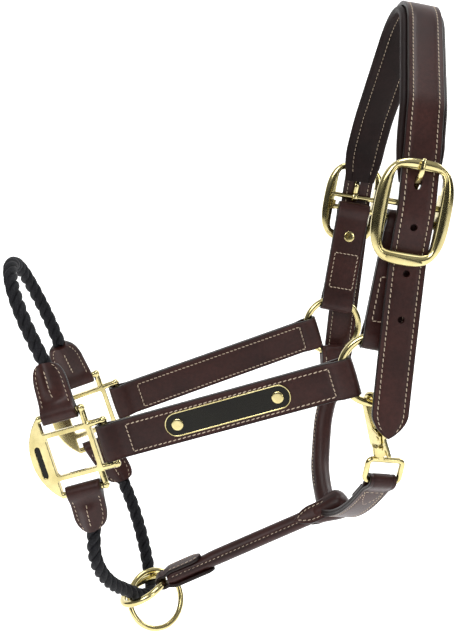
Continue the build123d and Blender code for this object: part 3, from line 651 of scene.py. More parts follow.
BUCKLE_LEATHER_BAR = head(89.5, -134.5)
RING_TOP = head(86.0, -229.0 + RING_RADIUS)
BILLET_LENGTH = (RING_TOP - BUCKLE_LEATHER_BAR).length
BILLET_DOWN = (RING_TOP - BUCKLE_LEATHER_BAR).normalized()
BILLET_OUT = BILLET_DOWN.cross(ACROSS) * (1 if BILLET_DOWN.cross(ACROSS).y < 0 else -1)
LEATHER_BAR = 4.0
RIVET_DOWN = 22.0
RIVET_HEAD = 4.25
RIVET_RISE = 0.95


def billet_point(down, across=0.0, out=0.0):
    return BUCKLE_LEATHER_BAR + BILLET_DOWN * down + ACROSS * across + BILLET_OUT * out


def billet(side_name, mirror_it):
    """The short strap from the buckle to the cheek ring, riveted and then sewn in a box."""
    path = folded_path(lambda x, v: billet_point(x, 0, v), BILLET_LENGTH, LEATHER_BAR, RING_WIRE, 0.0,
                       RING_SAG)
    section = strap_section(STRAP_WIDTH, PLY, creases=(1,), crown=0.35)
    strap = ribbon(side_name + "_sewn_billet", path, ACROSS, section, closed=True)
    stitching = Stitching()
    for way in (1, -1):
        stitch_box(stitching, lambda x, y: billet_point(x, y, way * SEWN_HEIGHT), BILLET_BOX[0],
                   BILLET_LENGTH - BILLET_BOX[1], BILLET_OUT * way)
    thread = stitching.piece(side_name + "_billet_stitching")
    rivet = turned(side_name + "_domed_billet_rivet", billet_point(RIVET_DOWN), BILLET_OUT,
                   rivet_outline(RIVET_HEAD, PLY, RIVET_RISE))
    if mirror_it:
        swap_to_far(strap, thread, rivet)
    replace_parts(strap, side_name + "_billet")
    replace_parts(rivet, side_name + "_billet_rivet")


def rivet_outline(radius, half_grip, rise):
    """Radius and height of a rivet with a low rounded head on both faces."""
    dome = [(radius * sin(radians(a)), half_grip + rise * cos(radians(a)) ** 0.4) for a in range(0, 86, 12)]
    dome += [(radius, half_grip - 0.05), (1.5, half_grip - 0.05)]
    return dome + [(r, -h) for r, h in reversed(dome)]


def turned(name, centre, axis, outline, around=28):
    """A brass piece turned about an axis; outline is (radius, height) from one end to the other."""
    axis, side, other = square_to(axis)
    points = [centre + axis * height + (side * c + other * s) * max(radius, 0.01)
              for radius, height in outline for c, s in circle(around)]
    return make(name, points, skin(len(outline), around), BRASS)


# ------------------------------------------------------------------ rope-end tabs
TAB_FOLD = LOOP_BAR / 2 + SLACK + PLY


class Tab:
    """A leather tab folded round its bar and closing on a rope's end.

    A point is given by its place along the tab, from 0 at the bar to 1 at the tip, and across it in mm."""

    def __init__(self, bar, tip, across):
        self.bar, self.across = bar, across
        reach = tip - bar
        self.skew = reach.dot(across)
        self.along = (reach - across * self.skew).normalized()
        self.length = reach.dot(self.along)
        self.out = across.cross(self.along)
        if self.out.y > 0:
            self.out.negate()

    def half_width(self, s):
        if s < 0.52:
            return 12.5 - 1.0 * s
        return 5.9 + 6.1 * sqrt(max(0.0, 1 - ((s - 0.52) / 0.48) ** 2.3))

    def half_thickness(self, s, x):
        from_bar = min(s * self.length / (3.6 * PLY), 1.0)
        spread = 0.5 - 0.5 * cos(pi * from_bar)
        core = min(max((s - 0.15) / 0.35, 0.0), 1.0)
        middle = TAB_FOLD + (3.1 - TAB_FOLD) * spread + 3.3 * (0.5 - 0.5 * cos(pi * core))
        edge = TAB_FOLD + (2.2 - TAB_FOLD) * spread
        bell = cos(min(abs(x) / 9.0, 1.0) * pi / 2) ** 1.6
        crease = 0.3 * max(0.0, 1 - abs(self.half_width(s) - 2.9 - abs(x)) / 0.9) * spread
        return edge + (middle - edge) * bell - crease

    def point(self, s, x, face):
        """A point on the front (face 1) or the back (face -1)."""
        half = self.half_width(s)
        rim = max(0.0, (abs(x) - (half - 1.4)) / 1.4)
        lift = self.half_thickness(s, x) * sqrt(max(0.0, 1 - min(rim, 1.0) ** 2))
        return (self.bar + self.along * (s * self.length) + self.across * (self.skew * s + x)
                + self.out * (face * lift))

    def outwards(self, s, x, face):
        ahead = self.point(min(s + 0.02, 1), x, face) - self.point(max(s - 0.02, 0), x, face)
        aside = self.point(s, x + 0.4, face) - self.point(s, x - 0.4, face)
        normal = ahead.cross(aside).normalized()
        return normal if normal.dot(self.out) * face > 0 else -normal


def rope_tab(name, node, bar, tip, across, mirror_it):
    tab = Tab(bar, tip, across)
    columns = [-1.0, -0.985, -0.95, -0.9, -0.84, -0.78, -0.7, -0.55, -0.38, -0.2, 0.0]
    columns += [-c for c in reversed(columns[:-1])]
    rings = []
    for turn in (88, 70, 50, 30, 12):
        angle = radians(turn)
        ring = []
        for face in (1, -1):
            for c in columns if face > 0 else reversed(columns):
                rim = sqrt(max(0.0, 1 - max(0.0, (abs(c) * 12.5 - 11.1) / 1.4) ** 2))
                ring.append(tab.bar - tab.along * (TAB_FOLD * sin(angle)) + tab.across * (c * 12.5)
                            + tab.out * (face * TAB_FOLD * cos(angle) * rim))
        rings.append(ring)
    for s in (i / 26 for i in range(27)):
        half = tab.half_width(s)
        rings.append([tab.point(s, c * half, face) for face in (1, -1)
                      for c in (columns if face > 0 else reversed(columns))])
    row = [0.9 if abs(c) > 0.96 else 0.0 for c in columns]
    leather_tab = make(name, [p for ring in rings for p in ring], skin(len(rings), len(rings[0])), BROWN,
                       (row + row[::-1]) * len(rings))
    bore(leather_tab, tab.bar, tab.across, LOOP_BAR / 2 + 0.4, 60)
    stitching = Stitching()
    for face in (1, -1):
        outline = [(0.16 + 0.82 * i / 30, -1) for i in range(31)]
        outline += [(s, 1) for s, _ in reversed(outline)]
        for spots in ([(s, side * (tab.half_width(s) - 2.9)) for s, side in outline],
                      [(0.3 + 0.55 * i / 12, 0.0) for i in range(13)]):
            stitching.spots([(tab.point(s, x, face), tab.outwards(s, x, face)) for s, x in spots])
    thread = stitching.piece(name.replace("sewn", "stitched") + "_thread")
    if mirror_it:
        swap_to_far(leather_tab, thread)
    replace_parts(leather_tab, node)


def bore(obj, centre, axis, radius, length):
    """Cuts a round hole through a piece, centred on a point."""
    drill = bpy.data.meshes.new("cutter")
    mesh = bmesh.new()
    bmesh.ops.create_cone(mesh, segments=32, radius1=radius * MM, radius2=radius * MM, depth=length * MM,
                          cap_ends=True)
    mesh.to_mesh(drill)
    mesh.free()
    subtract(obj, drill, Matrix.Translation(centre * MM) @ axis.to_track_quat("Z", "Y").to_matrix().to_4x4())


def subtract(obj, mesh, place=Matrix()):
    """Takes a closed mesh away from a piece."""
    cutter = link("cutter", mesh)
    cutter.matrix_world = place
    modifier = obj.modifiers.new("cut", "BOOLEAN")
    modifier.operation = "DIFFERENCE"
    modifier.solver = "EXACT"
    modifier.object = cutter
    bpy.context.view_layer.update()
    result = bpy.data.meshes.new_from_object(obj.evaluated_get(bpy.context.evaluated_depsgraph_get()))
    obj.modifiers.clear()
    old, obj.data = obj.data, result
    bpy.data.meshes.remove(old)
    bpy.data.objects.remove(cutter)


NOSE_BAR = cheek(SQUARE_REACH, LOOP_REACH)
CHIN_BAR = cheek(SQUARE_REACH, -LOOP_REACH)


def make_tabs():
    for end, bar, near_tip, far_tip in (("nose", NOSE_BAR, NOSE_ROUTE[0], NOSE_ROUTE[0]),
                                        ("chin", CHIN_BAR, CHIN_ROUTE[0], far(CHIN_ROUTE[-1]))):
        for side_name, tip in (("near", near_tip), ("far", far_tip)):
            rope_tab(f"{side_name}_sewn_{end}_tab", f"{side_name}_{end}_tab", bar, tip, FORWARD,
                     mirror_it=side_name == "far")


# ------------------------------------------------------------------ crown strap and its pad
BUCKLE_TOP_BAR = -101.0
BUCKLE_PIN = -125.0
BUCKLE_BOTTOM_BAR = -157.5
TAIL_TIP = -268.0
HOLE_PITCH = 28.0
FIRST_HOLE = -138.1
TONGUE_SLOT = (-107.0, -115.8)
SLOT_HALF_WIDE = 2.3
POCKET_OUT = 89.0                                      # the room behind the slot for the tongue's root
POCKET_UP = -120.8
POCKET = (2.5, 2.8, 10.1)                              # its radius, half run and half depth
HOLE_RADIUS = 2.2
CROWN_WIDTH = 23.0
CROWN_THICKNESS = 3.2
CROWN_PEAK = (0.0, 33.44)
PEAK_RADIUS = 47.03


def drift(up):
    """How far back the tails hang off the leaning headpiece as they come nearer to upright."""
    return 12.5 * (max(0.0, -80.0 - up) / 188.0) ** 1.25


def crown_line():
    """Centre line of the crown strap from the near tail's tip over the poll to the far tail's tip."""
    side = [(100.3, TAIL_TIP), (96.5, -187.5), (95.1, BUCKLE_BOTTOM_BAR), (100.25, BUCKLE_PIN - 3),
            (95.1, BUCKLE_TOP_BAR), (92.5, -89.0), (80.5, -62.5)]
    corners = [Vector(p) for p in side + [CROWN_PEAK] + [(-out, up) for out, up in reversed(side)]]
    radii = []
    for before, here, after in zip(corners, corners[1:], corners[2:]):
        turn = (here - before).angle(after - here)
        radii.append(min(0.45 * min((here - before).length, (after - here).length) / tan(turn / 2), 45.0))
    radii[len(radii) // 2] = PEAK_RADIUS
    return [p + ACROSS * drift(p.dot(HEAD_UP)) for p in rounded([head(*c) for c in corners], radii, 1.6)]


def tail_width(distance):
    """Half width of the crown strap that far from its pointed tip."""
    if distance < 16:
        return CROWN_WIDTH / 2 * sin(pi / 2 * (distance / 16)) ** 0.75 + 0.02
    return CROWN_WIDTH / 2


def crown_strap():
    path = crown_line()
    gone = distances(path)
    total = gone[-1]
    fine = [at_distance(path, 0.05 + d)[0]
            for d in (0, 0.2, 0.5, 0.9, 1.5, 2.3, 3.3, 4.5, 6, 7.6, 9.4, 11.4, 13.6, 15.8)]
    fine_back = [at_distance(path, total - 0.05 - (a - path[0]).length)[0] for a in fine]
    path = fine + [p for p, d in zip(path, gone) if 16.5 < d < total - 16.5] + fine_back[::-1]
    gone = distances(path)
    total = gone[-1]

    def factor(i):
        return tail_width(min(gone[i], total - gone[i])) / (CROWN_WIDTH / 2)

    section = strap_section(CROWN_WIDTH, CROWN_THICKNESS)
    strap = ribbon("sewn_crown_strap", path, ACROSS, section, narrow=factor)
    cutters, pockets = [], []
    for side in (1, -1):
        for step in range(3):
            height = FIRST_HOLE - step * HOLE_PITCH
            cutters.append(stadium(head(side * 95, height, drift(height)), HOLE_RADIUS, 0.0))
        cutters.append(stadium(head(side * 97, (TONGUE_SLOT[0] + TONGUE_SLOT[1]) / 2, 0.5), SLOT_HALF_WIDE,
                               (TONGUE_SLOT[0] - TONGUE_SLOT[1]) / 2 - SLOT_HALF_WIDE))
        pockets.append(stadium(head(side * POCKET_OUT, POCKET_UP, 0.5), *POCKET))
    cut(strap, cutters)
    cut(strap, pockets)
    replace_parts(strap, "crown_strap")
    stitching = Stitching()
    outs = [ACROSS.cross(along) for along in directions(path)]
    if outs[len(outs) // 2].dot(HEAD_UP) < 0:
        outs = [-out for out in outs]
    row_at = CROWN_WIDTH / 2 - STITCH_INSET
    height = CROWN_THICKNESS / 2 - 0.36
    for face in (1, -1):
        for edge in (1, -1):
            stitching.spots([(here + ACROSS * (edge * row_at * factor(i)) + out * (face * height), out * face)
                             for i, (here, out) in enumerate(zip(path, outs)) if 3.6 < gone[i] < total - 3.6])
    stitching.piece("crown_stitching")
    return path, outs


def slot_outline(radius, half_run, first=0):
    """A long round-ended outline: upright, or lying down where first is -90, or round where half_run is 0."""
    if not half_run:
        return [(radius * cos(radians(a)), radius * sin(radians(a))) for a in range(0, 360, 15)]
    run_x, run_y = (0, half_run) if first == 0 else (half_run, 0)
    return [(way * run_x + radius * cos(radians(a)), way * run_y + radius * sin(radians(a)))
            for way, begin in ((1, first), (-1, first + 180)) for a in range(begin, begin + 181, 15)]


def stadium(centre, radius, half_run, reach=14.0, first=0):
    """A round-ended cutter through the headpiece's side, as points and faces."""
    outline = slot_outline(radius, half_run, first)
    points = [centre + ACROSS * x + HEAD_UP * y + SIDE * z for z in (-reach, reach) for x, y in outline]
    return points, skin(2, len(outline))


def cut(obj, cutters):
    """Cuts closed shapes, given as points and faces, out of a piece."""
    points, faces = [], []
    for more, more_faces in cutters:
        faces += [tuple(len(points) + k for k in face) for face in more_faces]
        points += more
    mesh = bpy.data.meshes.new("cutter")
    mesh.from_pydata([tuple(p * MM) for p in points], [], faces)
    turn_outwards(mesh)
    subtract(obj, mesh)
    obj.data.set_sharp_from_angle(angle=radians(SHARP))


PAD_ROW = 8.4                                          # from the pad's middle to its rows of stitches


def pad_section():
    """The pad across: thin under the strap, grooved along its two sewn rows, a stuffed roll at each edge."""
    def roll(sign, angles):
        return [(sign * (12.35 + 2.55 * cos(radians(a))), 0.25 + 2.6 * sin(radians(a)), 0.0) for a in angles]

    def under(u):
        return -2.35 + 1.1 * max(0.0, 1 - abs(abs(u) - PAD_ROW) / 1.5) ** 1.5 - 0.35 * cos(pi * u / 17)

    across = [9.6, 8.9, 8.4, 7.9, 7.2, 5.5, 3, 0]
    across += [-u for u in reversed(across[:-1])]
    section = roll(1, range(125, -126, -18))
    section += [(u, under(u), 0.7 if abs(abs(u) - PAD_ROW) < 0.3 else 0.0) for u in across]
    section += roll(-1, range(-125, 126, 18))
    # the face against the strap takes 0.3 of the edge colour: painted shade in the gap between pad and strap
    section += [(-u, 1.9, 0.3) for u in across]
    return section


def crown_pad(path, outs):
    drop = (CROWN_THICKNESS + 5.0) / 2 + 0.7
    middle = [(p - out * drop, out) for p, out in zip(path, outs) if p.dot(HEAD_UP) > -113]
    line = [p for p, _ in middle]
    last = len(line) - 1

    def factor(i):
        away = min(i, last - i) * 1.6
        return 0.76 + 0.24 * sin(pi / 2 * min(away / 27.0, 1.0))

    section = pad_section()
    sections = []
    for i in range(len(line)):
        away = min(min(i, last - i) * 1.6 / 14.0, 1.0)
        thick = 0.3 + 0.7 * sin(pi / 2 * away)
        sections.append([(u, v * thick, edge) for u, v, edge in section])
    pad = ribbon("stuffed_crown_pad", line, ACROSS, sections, LINING, narrow=factor)
    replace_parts(pad, "crown_pad")
    stitching = Stitching()
    for edge in (1, -1):
        stitching.spots([(middle[i][0] + ACROSS * (edge * PAD_ROW * factor(i)) - middle[i][1] * 1.32,
                          -middle[i][1]) for i in range(4, last - 3)])
    stitching.piece("pad_stitching")


# ------------------------------------------------------------------ chin strap, throat strap and throat roll
CHIN_RING = joint_point("chin_ring_turn")
CHIN_RING_AXIS = joint_axis("chin_ring_turn")
CHIN_RING_RADIUS = 16.5
UPHILL = SIDE.cross(CHIN_RING_AXIS)
CHIN_STRAP_START = CHIN_RING + UPHILL * (CHIN_RING_RADIUS if UPHILL.x > 0 else -CHIN_RING_RADIUS)
CHIN_STRAP_END = Vector((-62.0, 0.0, -352.0))
CHIN_LINE = (CHIN_STRAP_END - CHIN_STRAP_START).normalized()
CHIN_UP = CHIN_LINE.cross(SIDE) * (1 if CHIN_LINE.cross(SIDE).z > 0 else -1)
NEAR_WAY = -SIDE


def blend(x, low, high):
    """0 at low, 1 at high and smooth between."""
    return 0.5 - 0.5 * cos(pi * min(max((x - low) / (high - low), 0.0), 1.0))


def oval(half_wide, half_thick, power=2.0, around=40, seam=None, seam_depth=0.5):
    """A rounded outline; seam is the angle in degrees of a sewn groove in it."""
    points = []
    for k, (c, s) in enumerate(circle(around)):
        u = half_wide * abs(c) ** (2 / power) * (1 if c >= 0 else -1)
        v = half_thick * abs(s) ** (2 / power) * (1 if s >= 0 else -1)
        groove = 0.0
        if seam is not None:
            off = abs((360 * k / around - seam + 180) % 360 - 180)
            groove = max(0.0, 1 - off / 10.0)
        shrink = 1 - groove * seam_depth / max(hypot(u, v), 1.0)
        points.append((u * shrink, v * shrink, 0.8 * groove))
    return points


def rolled_strap(name, path, across, shapes, seam, seam_from, seam_to, node):
    """A strap rolled round a core. shapes(distance) gives half width, half thickness and squareness."""
    gone = distances(path)
    sections = []
    for distance in gone:
        wide, thick, power = shapes(distance)
        sections.append(oval(wide, thick, power, seam=seam if seam_from < distance < seam_to else None))
    strap = ribbon(name, path, across, sections)
    if node:
        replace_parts(strap, node)
    stitching = Stitching()
    c, s = cos(radians(seam)), sin(radians(seam))
    row = []
    for here, along, distance in zip(path, directions(path), gone):
        if seam_from < distance < seam_to:
            wide = (across - along * across.dot(along)).normalized()
            out = wide.cross(along)
            half_wide, half_thick, _ = shapes(distance)
            way = wide * c + out * s
            side = wide * -s + out * c
            row.append((here + way * (hypot(half_wide * c, half_thick * s) - 0.35) + side * 1.0, way))
    stitching.spots(row)
    stitching.piece(name + "_thread")
    return strap


def straight(start, end, step=1.5):
    count = max(2, int((end - start).length / step))
    return [start + (end - start) * i / count for i in range(count + 1)]


def chin_strap():
    """The rolled strap from the chin ring back to the throat, with two flaps folded round the ring."""
    start = 4.0

    def core(x):
        """Half thickness of the rolled core that far from the ring's bar."""
        return 2.3 + 2.55 * blend(x, 0, 9) + 0.9 * blend(x, 28, 44)

    def shapes(x):
        grown = blend(x, 0, 30)
        return 4.9 + 0.85 * grown, core(x + start), 2.8 - 0.8 * grown

    path = straight(CHIN_STRAP_START + CHIN_LINE * start, CHIN_STRAP_END + CHIN_LINE * 3)
    rolled_strap("rolled_chin_strap", path, SIDE, shapes, 186.0, 3.0, 200.0, "chin_strap")

    def at(x, v):
        return CHIN_STRAP_START + CHIN_LINE * x + CHIN_UP * v

    def lift(x):
        return max(4.3 - 0.1 * x, core(x) + 1.15)

    top_end, low_end = 33.0, 39.0
    top = [(top_end - i * 0.9, lift(top_end - i * 0.9)) for i in range(int(top_end / 0.9) + 1)]
    low = [(i * 0.9, -lift(i * 0.9)) for i in range(int(low_end / 0.9) + 1)]
    front = [(-4.3 * sin(radians(a)), 4.3 * cos(radians(a))) for a in range(15, 180, 15)]
    profile = top + front + low
    flap_path = [at(x, v) for x, v in profile]

    def factor(i):
        x = profile[i][0]
        end = top_end if i < len(top) else low_end
        wide = 5.3 + 0.7 * blend(x, 2, 16)
        tip = max(0.0, (x - (end - 8.0)) / 8.0)
        return wide * (1 - tip ** 2.2 * 0.8) / 6.5

    section = strap_section(13.0, 2.3, crease=2.0, creases=(1,), crown=0.3, corner=0.7, depth=0.22)
    flaps = ribbon("chin_strap_flaps", flap_path, -SIDE, section, narrow=factor)
    cut(flaps, [ring_shape(CHIN_RING, CHIN_RING_AXIS, CHIN_RING_RADIUS, 2.85)])
    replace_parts(flaps, "chin_strap")
    stitching = Stitching()
    for first, end, way in ((7.0, top_end - 3.0, 1), (7.0, low_end - 3.0, -1)):
        for edge in (1, -1):
            row = []
            for k in range(9):
                x = first + (end - first) * k / 8
                tip = max(0.0, (x - (end - 5.0)) / 8.0)
                wide = (5.3 + 0.7 * blend(x, 2, 16) - 2.0) * (1 - tip ** 1.6 * 0.9)
                row.append(at(x, way * (lift(x) + 1.05)) + SIDE * (edge * wide))
            stitching.row(row, CHIN_UP * way)
    stitching.piece("chin_flap_stitching")


def ring_shape(centre, axis, radius, wire, around=48, section=14):
    """A ring as points and faces."""
    axis, side, other = square_to(axis)
    points = [centre + (side * c + other * s) * (radius + wire * across) + axis * (wire * up)
              for c, s in circle(around) for across, up in circle(section)]
    return points, skin(around, section, closed=True)


def chin_wrap():
    """The leather that binds the chin strap's rear end to both throat pieces, with a pointed flap on it."""
    path = straight(CHIN_STRAP_END - CHIN_LINE * 5, CHIN_STRAP_END + CHIN_LINE * 26, 1.2)

    def shapes(x):
        grown = blend(x, 0, 26)
        dome = sqrt(max(0.0, 1 - max(0.0, (x - 23) / 8.2) ** 2))
        front = 0.6 + 0.4 * blend(x, -2, 6)
        return (7.3 + 3.4 * grown) * dome * front, (6.7 + 3.9 * grown) * dome * front, 2.3

    rolled_strap("stitched_chin_wrap", path, SIDE, shapes, 250.0, 8.0, 24.0, "chin_strap_wrap")
    stitching = Stitching()
    for number, facing in enumerate((NEAR_WAY * 0.80 + CHIN_UP * 0.6, NEAR_WAY * -0.80 - CHIN_UP * 0.6)):
        facing = facing.normalized()
        wide = facing.cross(CHIN_LINE)
        start, end = (-17.0, 20.0) if number == 0 else (-13.0, 16.0)

        def surface(x, lean=0.0):
            inner = 6.6 + 3.0 * blend(x, 0, 26)
            return CHIN_STRAP_END + CHIN_LINE * x + facing * (inner - 0.3 - 0.035 * lean * lean) + wide * lean

        spots = [start + (end - start) * i / 30 for i in range(31)]

        def pointed(x):
            return 0.04 + 0.96 * sin(pi / 2 * min((x - start) / 15.0, 1.0)) ** 0.8

        section = [(u, v - 0.035 * u * u, edge) for u, v, edge in
                   strap_section(13.5, 1.8, crease=2.4, creases=(1,), crown=0.2, corner=0.6, depth=0.2)]
        ribbon("chin_wrap_flap_" + str(number + 1), [surface(x) for x in spots], -wide, section,
               narrow=lambda i: pointed(spots[i]))
        for edge in (1, -1):
            row = []
            for k in range(10):
                x = start + 3.0 + (end - start - 7.0) * k / 9
                row.append(surface(x, edge * max(6.75 * pointed(x) - 2.3, 0.3)) + facing * 0.75)
            stitching.row(row, facing)
    stitching.piece("chin_wrap_stitching")


SNAP_EYE_BAR = Vector((-30.5, -74.0, -302.0))
EYE_WIRE = 3.8
EYE_ACROSS = Vector((0.968443, 0.202051, -0.145926))


def throat_strap():
    """The flat near half of the throat: two layers, folded at the top round the snap's eye."""
    start = Vector((-50.5, -8.0, -348.5))
    run = SNAP_EYE_BAR - start
    length = run.length
    along = run.normalized()
    across = (EYE_ACROSS - along * EYE_ACROSS.dot(along)).normalized()
    out = across.cross(along)
    if out.z > 0:
        out.negate()

    def curve(x):
        """How far the strap hangs outside the straight line, in millimetres."""
        part = x / length
        return 9.5 * (part * (1 - part)) * 4 * (1 - 0.35 * part) * 0.82

    def at(x, y=0.0, v=0.0):
        slope = curve(x + 0.5) - curve(x - 0.5)
        normal = (out - along * slope).normalized()
        return start + along * x + out * curve(x) + across * y + normal * v

    flat = 1.18
    fold = EYE_WIRE / 2 + SLACK + 1.15

    def lift(x):
        return fold + (flat - fold) * blend(length - x, 0.5, 11.0)

    spots = [length * i / 60 for i in range(61)]
    outer = [at(x, 0, lift(x)) for x in spots]
    turn = [at(length, 0, 0) + (along * sin(radians(a)) + out * cos(radians(a))) * fold
            for a in range(12, 180, 12)]
    inner = [at(x, 0, -lift(x)) for x in reversed(spots)]
    section = strap_section(18.5, 2.3, crease=2.6, creases=(1,), crown=0.25, corner=0.7, depth=0.25)
    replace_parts(ribbon("sewn_throat_strap", outer + turn + inner, across, section), "throat_strap")
    flap = [at(x, 0, -(lift(x) + 2.0)) for x in (length - 33 + i for i in range(22))]

    def flap_factor(i):
        return min(1.0, 0.55 + 0.45 * sin(pi / 2 * min(i / 6.0, 1.0)))

    ribbon("throat_strap_flap", flap, across, strap_section(17.5, 2.0, crease=2.6, creases=(-1,), corner=0.7),
           narrow=flap_factor)
    stitching = Stitching()
    half = 9.25 - 2.6
    for way in (1, -1):
        for edge in (1, -1):
            stitching.row([at(x, edge * half, way * 2.15) for x in spots if 8 < x < length - 15], out * way)
    across_end, shoulder, tip = [(12, half), (12, -half)], half - 3.2, (31, 0)
    for ends in (across_end, [(12, half), (24, shoulder)], [(12, -half), (24, -shoulder)],
                 [(24, shoulder), tip], [(24, -shoulder), tip]):
        stitching.row([at(length - x, y, lift(length - x) + 1.0) for x, y in ends], out)
    stitching.piece("throat_strap_stitching")


TOP_BEHIND = radians(5)
FAR_RING = far(NEAR_RING)
FAR_RING_AXIS = far(joint_axis("near_ring_turn"))
FAR_FORWARD = far(joint_axis("near_ring_turn").cross(Vector((0, 0, 1))))
FAR_RING_BOTTOM = (FAR_RING - Vector((0, 0, RING_RADIUS * cos(TOP_BEHIND)))
                   - FAR_FORWARD * (RING_RADIUS * sin(TOP_BEHIND)))
ROLL_TOP = FAR_RING_BOTTOM + Vector((0.5, -4.5, -20.0))
ROLL_ROUTE = [Vector((-54.0, 5.0, -346.0)), Vector((-56.0, 26.0, -333.5)), Vector((-52.0, 48.0, -313.0)),
              Vector((-47.5, 64.0, -288.0)), ROLL_TOP]


def throat_roll():
    """The rolled far half of the throat, pressed flat at the top, up to the far ring."""
    line = even(cord_line(ROLL_ROUTE), 1.6)
    length = length_of(line)
    top_run = straight(ROLL_TOP, FAR_RING_BOTTOM + (FAR_RING_BOTTOM - ROLL_TOP).normalized() * -1.5, 1.2)
    path = line[:-1] + top_run
    total = length_of(path)

    def shapes(x):
        flattened = blend(x, length - 26, length + 2)
        opened = blend(x, total - 8, total)
        wide = 7.0 + 4.1 * flattened
        thick = 7.0 + (2.75 - 7.0) * flattened + 2.9 * opened
        return wide, thick, 2.0 + 2.2 * flattened

    return rolled_strap("rolled_throat_strap", path, FAR_FORWARD, shapes, -30.0, 14.0, length - 20, None)


def throat_top():
    """The flat folded top of the throat roll, with a row of stitches along each side."""
    strap = throat_roll()
    cut(strap, [ring_shape(FAR_RING, FAR_RING_AXIS, RING_RADIUS, RING_WIRE / 2 + 0.35)])
    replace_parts(strap, "throat_roll")
    up = (FAR_RING_BOTTOM - ROLL_TOP).normalized()
    out = FAR_FORWARD.cross(up)
    if out.y < 0:
        out.negate()
    section = strap_section(22.2, PLY, creases=(1,), crown=0.35)
    middle = RING_WIRE / 2 + SLACK + PLY - PLY / 2

    def lift(x):
        return middle + (2.75 - middle) * blend(x, 2, 12)

    flap = [FAR_RING_BOTTOM - up * x + out * lift(x) for x in range(24, -1, -1)]
    flap += [FAR_RING_BOTTOM + up * (middle * sin(radians(a))) + out * (middle * cos(radians(a)))
             for a in range(12, 180, 12)]
    flap += [FAR_RING_BOTTOM - up * x - out * lift(x) for x in range(0, 25)]
    tab = ribbon("throat_roll_fold", flap, FAR_FORWARD, section)
    cut(tab, [ring_shape(FAR_RING, FAR_RING_AXIS, RING_RADIUS, RING_WIRE / 2 + 0.3)])
    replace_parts(tab, "throat_roll")
    stitching = Stitching()
    for way in (1, -1):
        for edge in (1, -1):
            row = [FAR_RING_BOTTOM - up * x + out * (way * (lift(x) + PLY / 2 - 0.25))
                   + FAR_FORWARD * (edge * 7.8) for x in (4, 6, 8, 10, 12, 15, 19, 23)]
            stitching.row(row, out * way)
    stitching.piece("throat_top_stitching")


# ------------------------------------------------------------------ metal fittings and name plate
def superellipse(half_wide, half_high, power, count=72, up=0.0):
    """A squarish oval whose middle is moved up by up; its points keep the directions of an unmoved one's."""
    points = []
    for c, s in circle(count):
        size = (abs(c / half_wide) ** power + abs(s / half_high) ** power) ** (-1 / power)
        points.append((size * c, size * s + up))
    return points


FRAME_MIDDLE = -129.6
WINDOW_MIDDLE = -128.9
FRAME_OUT = 100.0


def buckle_frame(side_name, mirror_it):
    """The cast buckle frame: domed, with a fine raised lip at its window and a plain sunk panel below."""
    outer = superellipse(23.5, 32.0, 2.9)
    inner = superellipse(15.4, 24.6, 9, up=WINDOW_MIDDLE - FRAME_MIDDLE)
    front = [(0.0, 0.2), (0.02, 0.9), (0.08, 1.6), (0.18, 2.2), (0.32, 2.7), (0.48, 2.95), (0.62, 2.8),
             (0.74, 2.35), (0.80, 2.1), (0.84, 2.15), (0.88, 2.5), (0.94, 2.55), (0.985, 2.3), (1.0, 1.8)]
    back = [(1.0, -2.0), (0.9, -2.45), (0.6, -2.7), (0.3, -2.5), (0.08, -1.6), (0.0, -0.4)]

    profile = front + back
    points = [head(FRAME_OUT + height, FRAME_MIDDLE + yo + (yi - yo) * t, -(xo + (xi - xo) * t))
              for (xo, yo), (xi, yi) in zip(outer, inner) for t, height in profile]
    piece = make(side_name + "_domed_buckle_frame", points, skin(len(outer), len(profile), closed=True),
                 BRASS)
    for end in (1, -1):
        join(piece, ear(head(96.6, -127.0, end * 16.6), (1.3, 10.5, 3.4)))
        join(piece, ear(head(91.8, -133.2, end * 16.6), (1.3, 3.6, 3.4)))
    join(piece, rod_shape(head(89.5, -134.5, -16.5), head(89.5, -134.5, 16.5), 2.0))
    cut(piece, [stadium(head(FRAME_OUT + 3.4, FRAME_MIDDLE - 28.6), 1.8, 9.6, 1.0, first=-90)])
    if mirror_it:
        swap_to_far(piece)
    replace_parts(piece, side_name + "_buckle_frame")


def ear(centre, half):
    """A box on the headpiece's own directions, as points and faces; half is its half size."""
    across, up, out = half
    points = [centre + ACROSS * (a * across) + HEAD_UP * (b * up) + SIDE * (c * out)
              for a in (-1, 1) for b in (-1, 1) for c in (-1, 1)]
    return points, [(0, 1, 3, 2), (4, 6, 7, 5), (0, 4, 5, 1), (2, 3, 7, 6), (0, 2, 6, 4), (1, 5, 7, 3)]


def rod_shape(start, end, radius, around=20):
    """A round rod as points and faces."""
    _, side, other = square_to(end - start)
    points = [at + (side * c + other * s) * radius for at in (start, end) for c, s in circle(around)]
    return points, skin(2, around)


def join(obj, shape):
    """Adds one more closed shape to a piece."""
    points, faces = shape
    working = bmesh.new()
    working.from_mesh(obj.data)
    corners = [working.verts.new(p * MM) for p in points]
    added = [working.faces.new([corners[k] for k in face]) for face in faces]
    for face in added:
        face.smooth = True
    bmesh.ops.recalc_face_normals(working, faces=added)
    working.to_mesh(obj.data)
    working.free()
    obj.data.set_sharp_from_angle(angle=radians(SHARP))


